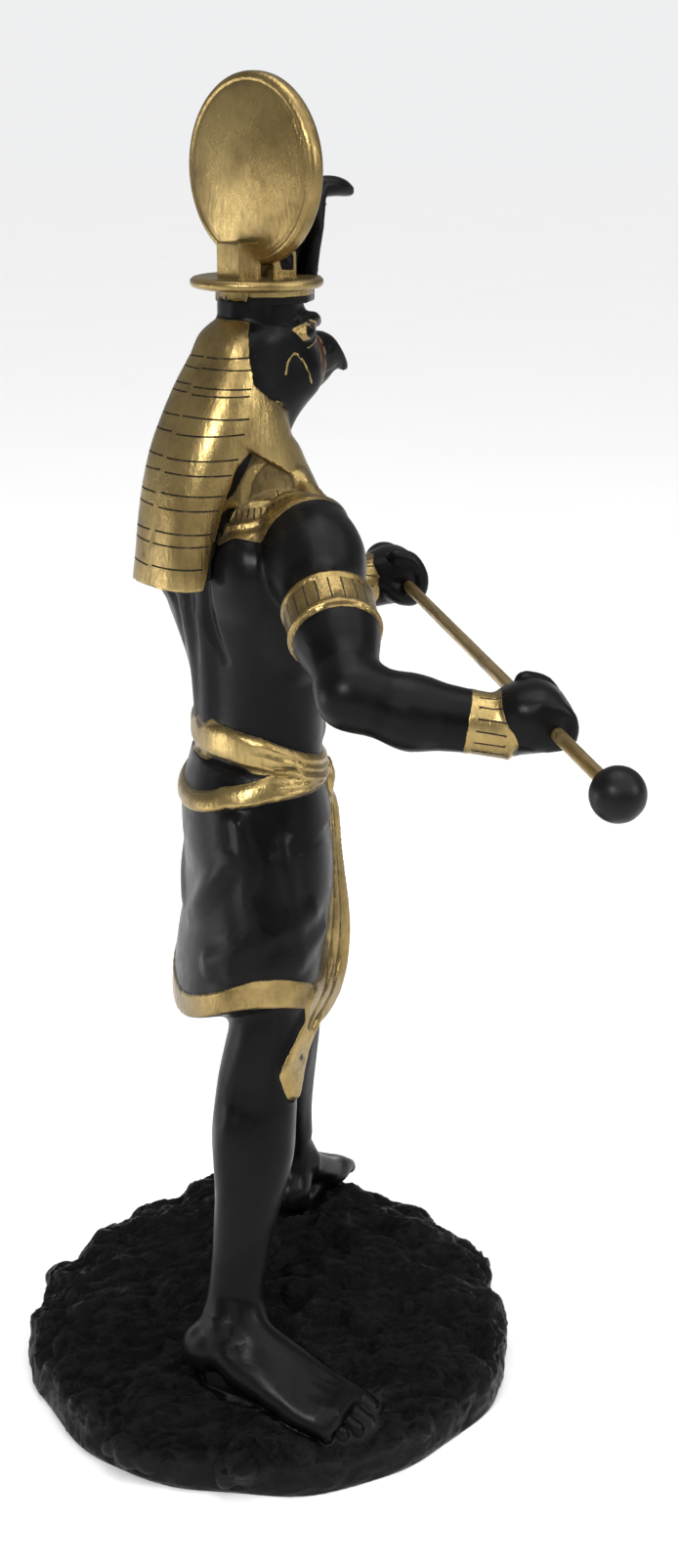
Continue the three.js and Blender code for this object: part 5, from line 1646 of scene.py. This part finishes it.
# The wash lies in streaks, patches and specks, and its darkening in hollows is a wash and painted shade both.
# It never covers the gold wholly.
wash_and_shade = ramp(tree, noise(tree, where, 420, 6, 0.65, (1, 1, 0.4)), 0.5, 0.8, 0.0, 0.45)
for layer in (ramp(tree, noise(tree, where, 85, 5, 0.6), 0.42, 0.75, 0.0, 0.5),
              ramp(tree, hollow, 0.03, 0.3, 0.0, 0.7),
              ramp(tree, noise(tree, where, 1500, 3, 0.6), 0.6, 0.8, 0.0, 0.35)):
    wash_and_shade = maths(tree, "ADD", wash_and_shade, layer)
wash_and_shade = maths(tree, "MINIMUM", wash_and_shade, 0.9)
gold_tone = blend_colour(tree, ramp(tree, noise(tree, where, 40, 3), 0.35, 0.65), BRIGHT_GOLD, DARK_GOLD)
gold_colour = blend_colour(tree, wash_and_shade, gold_tone, GOLD_WASH_AND_SHADE)

# The black is paler on edges, as rubbed wear and as a painted highlight, dusty on the rock, and reddish on
# the cere.
black_colour = blend_colour(tree, noise(tree, where, 90), BLACK, WORN_BLACK)
rubbed_and_highlit = maths(tree, "MULTIPLY", ramp(tree, hollow, -0.25, -0.05, 1.0, 0.0), 0.3)
dust = maths(tree, "MULTIPLY", rocky, ramp(tree, noise(tree, where, 240, 6, 0.65), 0.5, 0.75, 0.0, 0.5))
cere = ramp(tree, attribute(tree, "cere"), -0.1, 0.1, 0.0, 0.85)
for share, tone in ((rubbed_and_highlit, RUBBED_AND_HIGHLIT_BLACK), (dust, ROCK_DUST), (cere, CERE_RED)):
    black_colour = blend_colour(tree, share, black_colour, tone)

gold_rough = maths(tree, "MULTIPLY_ADD", wash_and_shade, 0.22, 0.27)
black_rough = ramp(tree, noise(tree, where, 160), 0.3, 0.7, 0.27, 0.36)
rock_rough = ramp(tree, noise(tree, where, 60), 0.35, 0.65, -0.08, 0.03)
black_rough = maths(tree, "MULTIPLY_ADD", rocky, rock_rough, black_rough)
grain = bump(tree, noise(tree, where, 2600, 3, 0.6), 0.00008, 0.5)
scratches = noise(tree, where, 900, 4, 0.6, (1, 1, 0.2))
grain = bump(tree, maths(tree, "MULTIPLY", scratches, is_gold), 0.0003, 0.6, grain)
slate = noise(tree, where, 330, 8, 0.68, (1.0, 0.3, 0.9))
split = maths(tree, "ABSOLUTE", maths(tree, "SUBTRACT", slate, 0.5))
grain = bump(tree, maths(tree, "MULTIPLY", split, rocky), 0.0035, 0.9, grain)
wire(tree, shader, {
    "Base Color": blend_colour(tree, is_gold, black_colour, gold_colour),
    "Metallic": maths(tree, "MULTIPLY", is_gold, ramp(tree, wash_and_shade, 0.55, 0.95, 0.92, 0.35)),
    "Roughness": blend_value(tree, is_gold, black_rough, gold_rough),
    "Normal": grain,
    "Specular IOR Level": 0.1,
})

# %% Wash in the engraved lines
engraved, tree, shader = material("engraved_line")
where = put(tree, "ShaderNodeTexCoord").outputs["Object"]
filled = ramp(tree, noise(tree, where, 500, 5), 0.45, 0.7)
wire(tree, shader, {
    "Base Color": blend_colour(tree, filled, (0.012, 0.009, 0.006), (0.07, 0.05, 0.022)),
    "Roughness": ramp(tree, noise(tree, where, 300), 0.3, 0.7, 0.5, 0.7),
    "Specular IOR Level": 0.2,
})

# %% Weighted normals
weighted = figure.modifiers.new("weighted", "WEIGHTED_NORMAL")
weighted.keep_sharp = True
applied(figure)

# %% [markdown]
# ## Rod and balls
#
# The rod is thin drawn brass, darkened and brushed along its length. Its two wooden or resin balls are
# lacquered black and not quite true. Each is a profile turned about its own axis.

# %% Rod and balls
def ball_profile(radius, steps=24):
    angles = np.linspace(math.pi / 2, -math.pi / 2, steps + 1)
    profile = [(radius * math.cos(angle), radius * math.sin(angle)) for angle in angles]
    profile[0], profile[-1] = (0.0, radius), (0.0, -radius)
    return profile


def middle_of(name):
    """The middle of a measured solid, in clay units."""
    low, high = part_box(name)
    return to_clay((np.array(low) + np.array(high)) / 2)


def half_of(name, axis):
    """Half the length of a measured solid along an axis, in clay units."""
    low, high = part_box(name)
    return float(high[axis] - low[axis]) / 2 / UNIT / METRES


ALONG_X = np.array([[0, 0, 1], [0, 1, 0], [-1, 0, 0]], float)
BALLS = ("ball_right", "ball_left")
ball_radius = half_of("ball_right", 2)
rod_half = half_of("rod", 0)
turned_pieces = {}
for name in BALLS:
    points, faces = turned_solid(ball_profile(ball_radius), 48)
    x, y, z = points.T
    uneven = 1 - 0.006 * (1 + np.sin(0.7 * x + 1.1 * y) * np.cos(0.8 * z))
    ball = (points * uneven[:, None], faces)
    turned_pieces[name] = place_part(name + "_turned", ball, middle_of(name), ALONG_X)

rod_profile = [(0.0, rod_half)]
for place in np.linspace(rod_half, -rod_half, 120):
    rod_profile.append((ROD_RADIUS * (0.985 - 0.012 * math.sin(place * 0.9)), place))
rod_profile.append((0.0, -rod_half))
turned_pieces["rod"] = place_part("rod_drawn", turned_solid(rod_profile, 24), middle_of("rod"), ALONG_X)
for name, piece in turned_pieces.items():
    piece.data.shade_smooth()
    piece.data.set_sharp_from_angle(angle=math.radians(60))
    print(piece.name, len(piece.data.polygons), "faces")

# %% Antique brass and lacquer
brass, tree, shader = material("drawn_brass")
where = put(tree, "ShaderNodeTexCoord").outputs["Object"]
drawn = noise(tree, where, 900, 6, 0.6, (0.06, 1, 1))
tarnish = ramp(tree, noise(tree, where, 120, 5, 0.6), 0.45, 0.68)
tone = blend_colour(tree, ramp(tree, drawn, 0.35, 0.7), (0.5, 0.36, 0.15), (0.2, 0.13, 0.05))
wire(tree, shader, {
    "Base Color": blend_colour(tree, maths(tree, "MULTIPLY", tarnish, 0.8), tone, (0.05, 0.033, 0.017)),
    "Metallic": ramp(tree, tarnish, 0, 1, 0.95, 0.5),
    "Roughness": ramp(tree, drawn, 0.3, 0.7, 0.3, 0.48),
    "Normal": bump(tree, drawn, 0.0002, 0.5),
})

lacquer, tree, shader = material("black_lacquer")
where = put(tree, "ShaderNodeTexCoord").outputs["Object"]
cloudy = noise(tree, where, 130, 4)
scuffs = ramp(tree, noise(tree, where, 420, 6, 0.7, (1, 0.3, 1)), 0.62, 0.75)
scuffed = maths(tree, "MULTIPLY", scuffs, 0.5)
wire(tree, shader, {
    "Base Color": blend_colour(tree, scuffed, (0.003, 0.003, 0.0035), (0.016, 0.014, 0.012)),
    "Roughness": maths(tree, "MULTIPLY_ADD", scuffs, 0.12, ramp(tree, cloudy, 0.3, 0.7, 0.34, 0.44)),
    "Normal": bump(tree, cloudy, 0.0006, 0.5),
    "Specular IOR Level": 0.16,
})
turned_pieces["rod"].data.materials.append(brass)
for name in BALLS:
    turned_pieces[name].data.materials.append(lacquer)

# %% Handing the pieces to the frame
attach(figure, "root")
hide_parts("figure")
for name, piece in turned_pieces.items():
    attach(piece, "root")
    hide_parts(name)

# %% [markdown]
# ## Camera, floor and light
#
# The camera stands to the figure's right and a little behind, and looks slightly down. A black
# object shows what it mirrors, so a small soft lamp over the camera draws its highlights, three weaker
# ones reach its other sides, and the sky is kept dim except where the camera sees it.

# %% Camera
LENS = 47.63
CAMERA_PLACE = (-0.60257, 0.09527, 0.40795)
CAMERA_VIEW = (0.92966, -0.18408, -0.31912)


def aim(thing, place, view):
    """Puts a camera or a lamp at a place and turns it to look along a direction."""
    thing.location = place
    thing.rotation_mode = "QUATERNION"
    thing.rotation_quaternion = Vector(view).to_track_quat("-Z", "Y")


camera_data = bpy.data.cameras.new("camera")
camera_data.lens = LENS
camera_data.sensor_width = 36.0
camera = link("camera", camera_data)
aim(camera, CAMERA_PLACE, CAMERA_VIEW)
bpy.context.scene.camera = camera
bpy.context.scene.view_settings.view_transform = "Standard"

# %% Sky and soft lights
DIM_SKY, SEEN_SKY = 0.3, 0.885
SUN_POWER = 2.6
# Each lamp has a name, a place, the height it looks at, the side of its square and its power.
LAMPS = (
    ("key", (-1.0, 0.75, 1.05), 0.22, 0.2, 15),
    ("fill", (-0.7, -1.1, 0.7), 0.2, 0.3, 4),
    ("top", (0.2, 0.0, 1.5), 0.2, 0.8, 5),
    ("back", (0.2, 0.85, 0.12), 0.36, 0.3, 1.4),
)

world = bpy.data.worlds.new("studio")
bpy.context.scene.world = world
world.use_nodes = True
sky = world.node_tree
rays = put(sky, "ShaderNodeLightPath").outputs["Is Camera Ray"]
strength = put(sky, "ShaderNodeMapRange", {"Value": rays, "To Min": DIM_SKY, "To Max": SEEN_SKY})
wire(sky, sky.nodes["Background"], {
    "Color": (0.97, 0.975, 0.985, 1),
    "Strength": strength.outputs["Result"],
})

for name, place, height, side, power in LAMPS:
    data = bpy.data.lights.new(name, "AREA")
    data.shape = "RECTANGLE"
    data.size = side
    data.size_y = side
    data.energy = power
    aim(link(name, data), place, Vector((0, 0, height)) - Vector(place))

sun_data = bpy.data.lights.new("daylight", "SUN")
sun_data.energy = SUN_POWER
sun_data.angle = math.radians(80)
sun = link("daylight", sun_data)
sun.rotation_euler = (math.radians(20), math.radians(-20), 0)

# %% Floor
bpy.ops.mesh.primitive_plane_add(size=20)
floor = bpy.context.object
floor.name = "floor"
pale, tree, shader = material("pale_floor")
where = put(tree, "ShaderNodeTexCoord").outputs["Object"]
wire(tree, shader, {
    "Base Color": blend_colour(tree, noise(tree, where, 6, 5), (0.86, 0.86, 0.86), (0.89, 0.89, 0.885)),
    "Roughness": 0.75,
    "Specular IOR Level": 0.1,
})
floor.data.materials.append(pale)

# %% Last measure
print("casting:", len(figure.data.polygons), "faces")
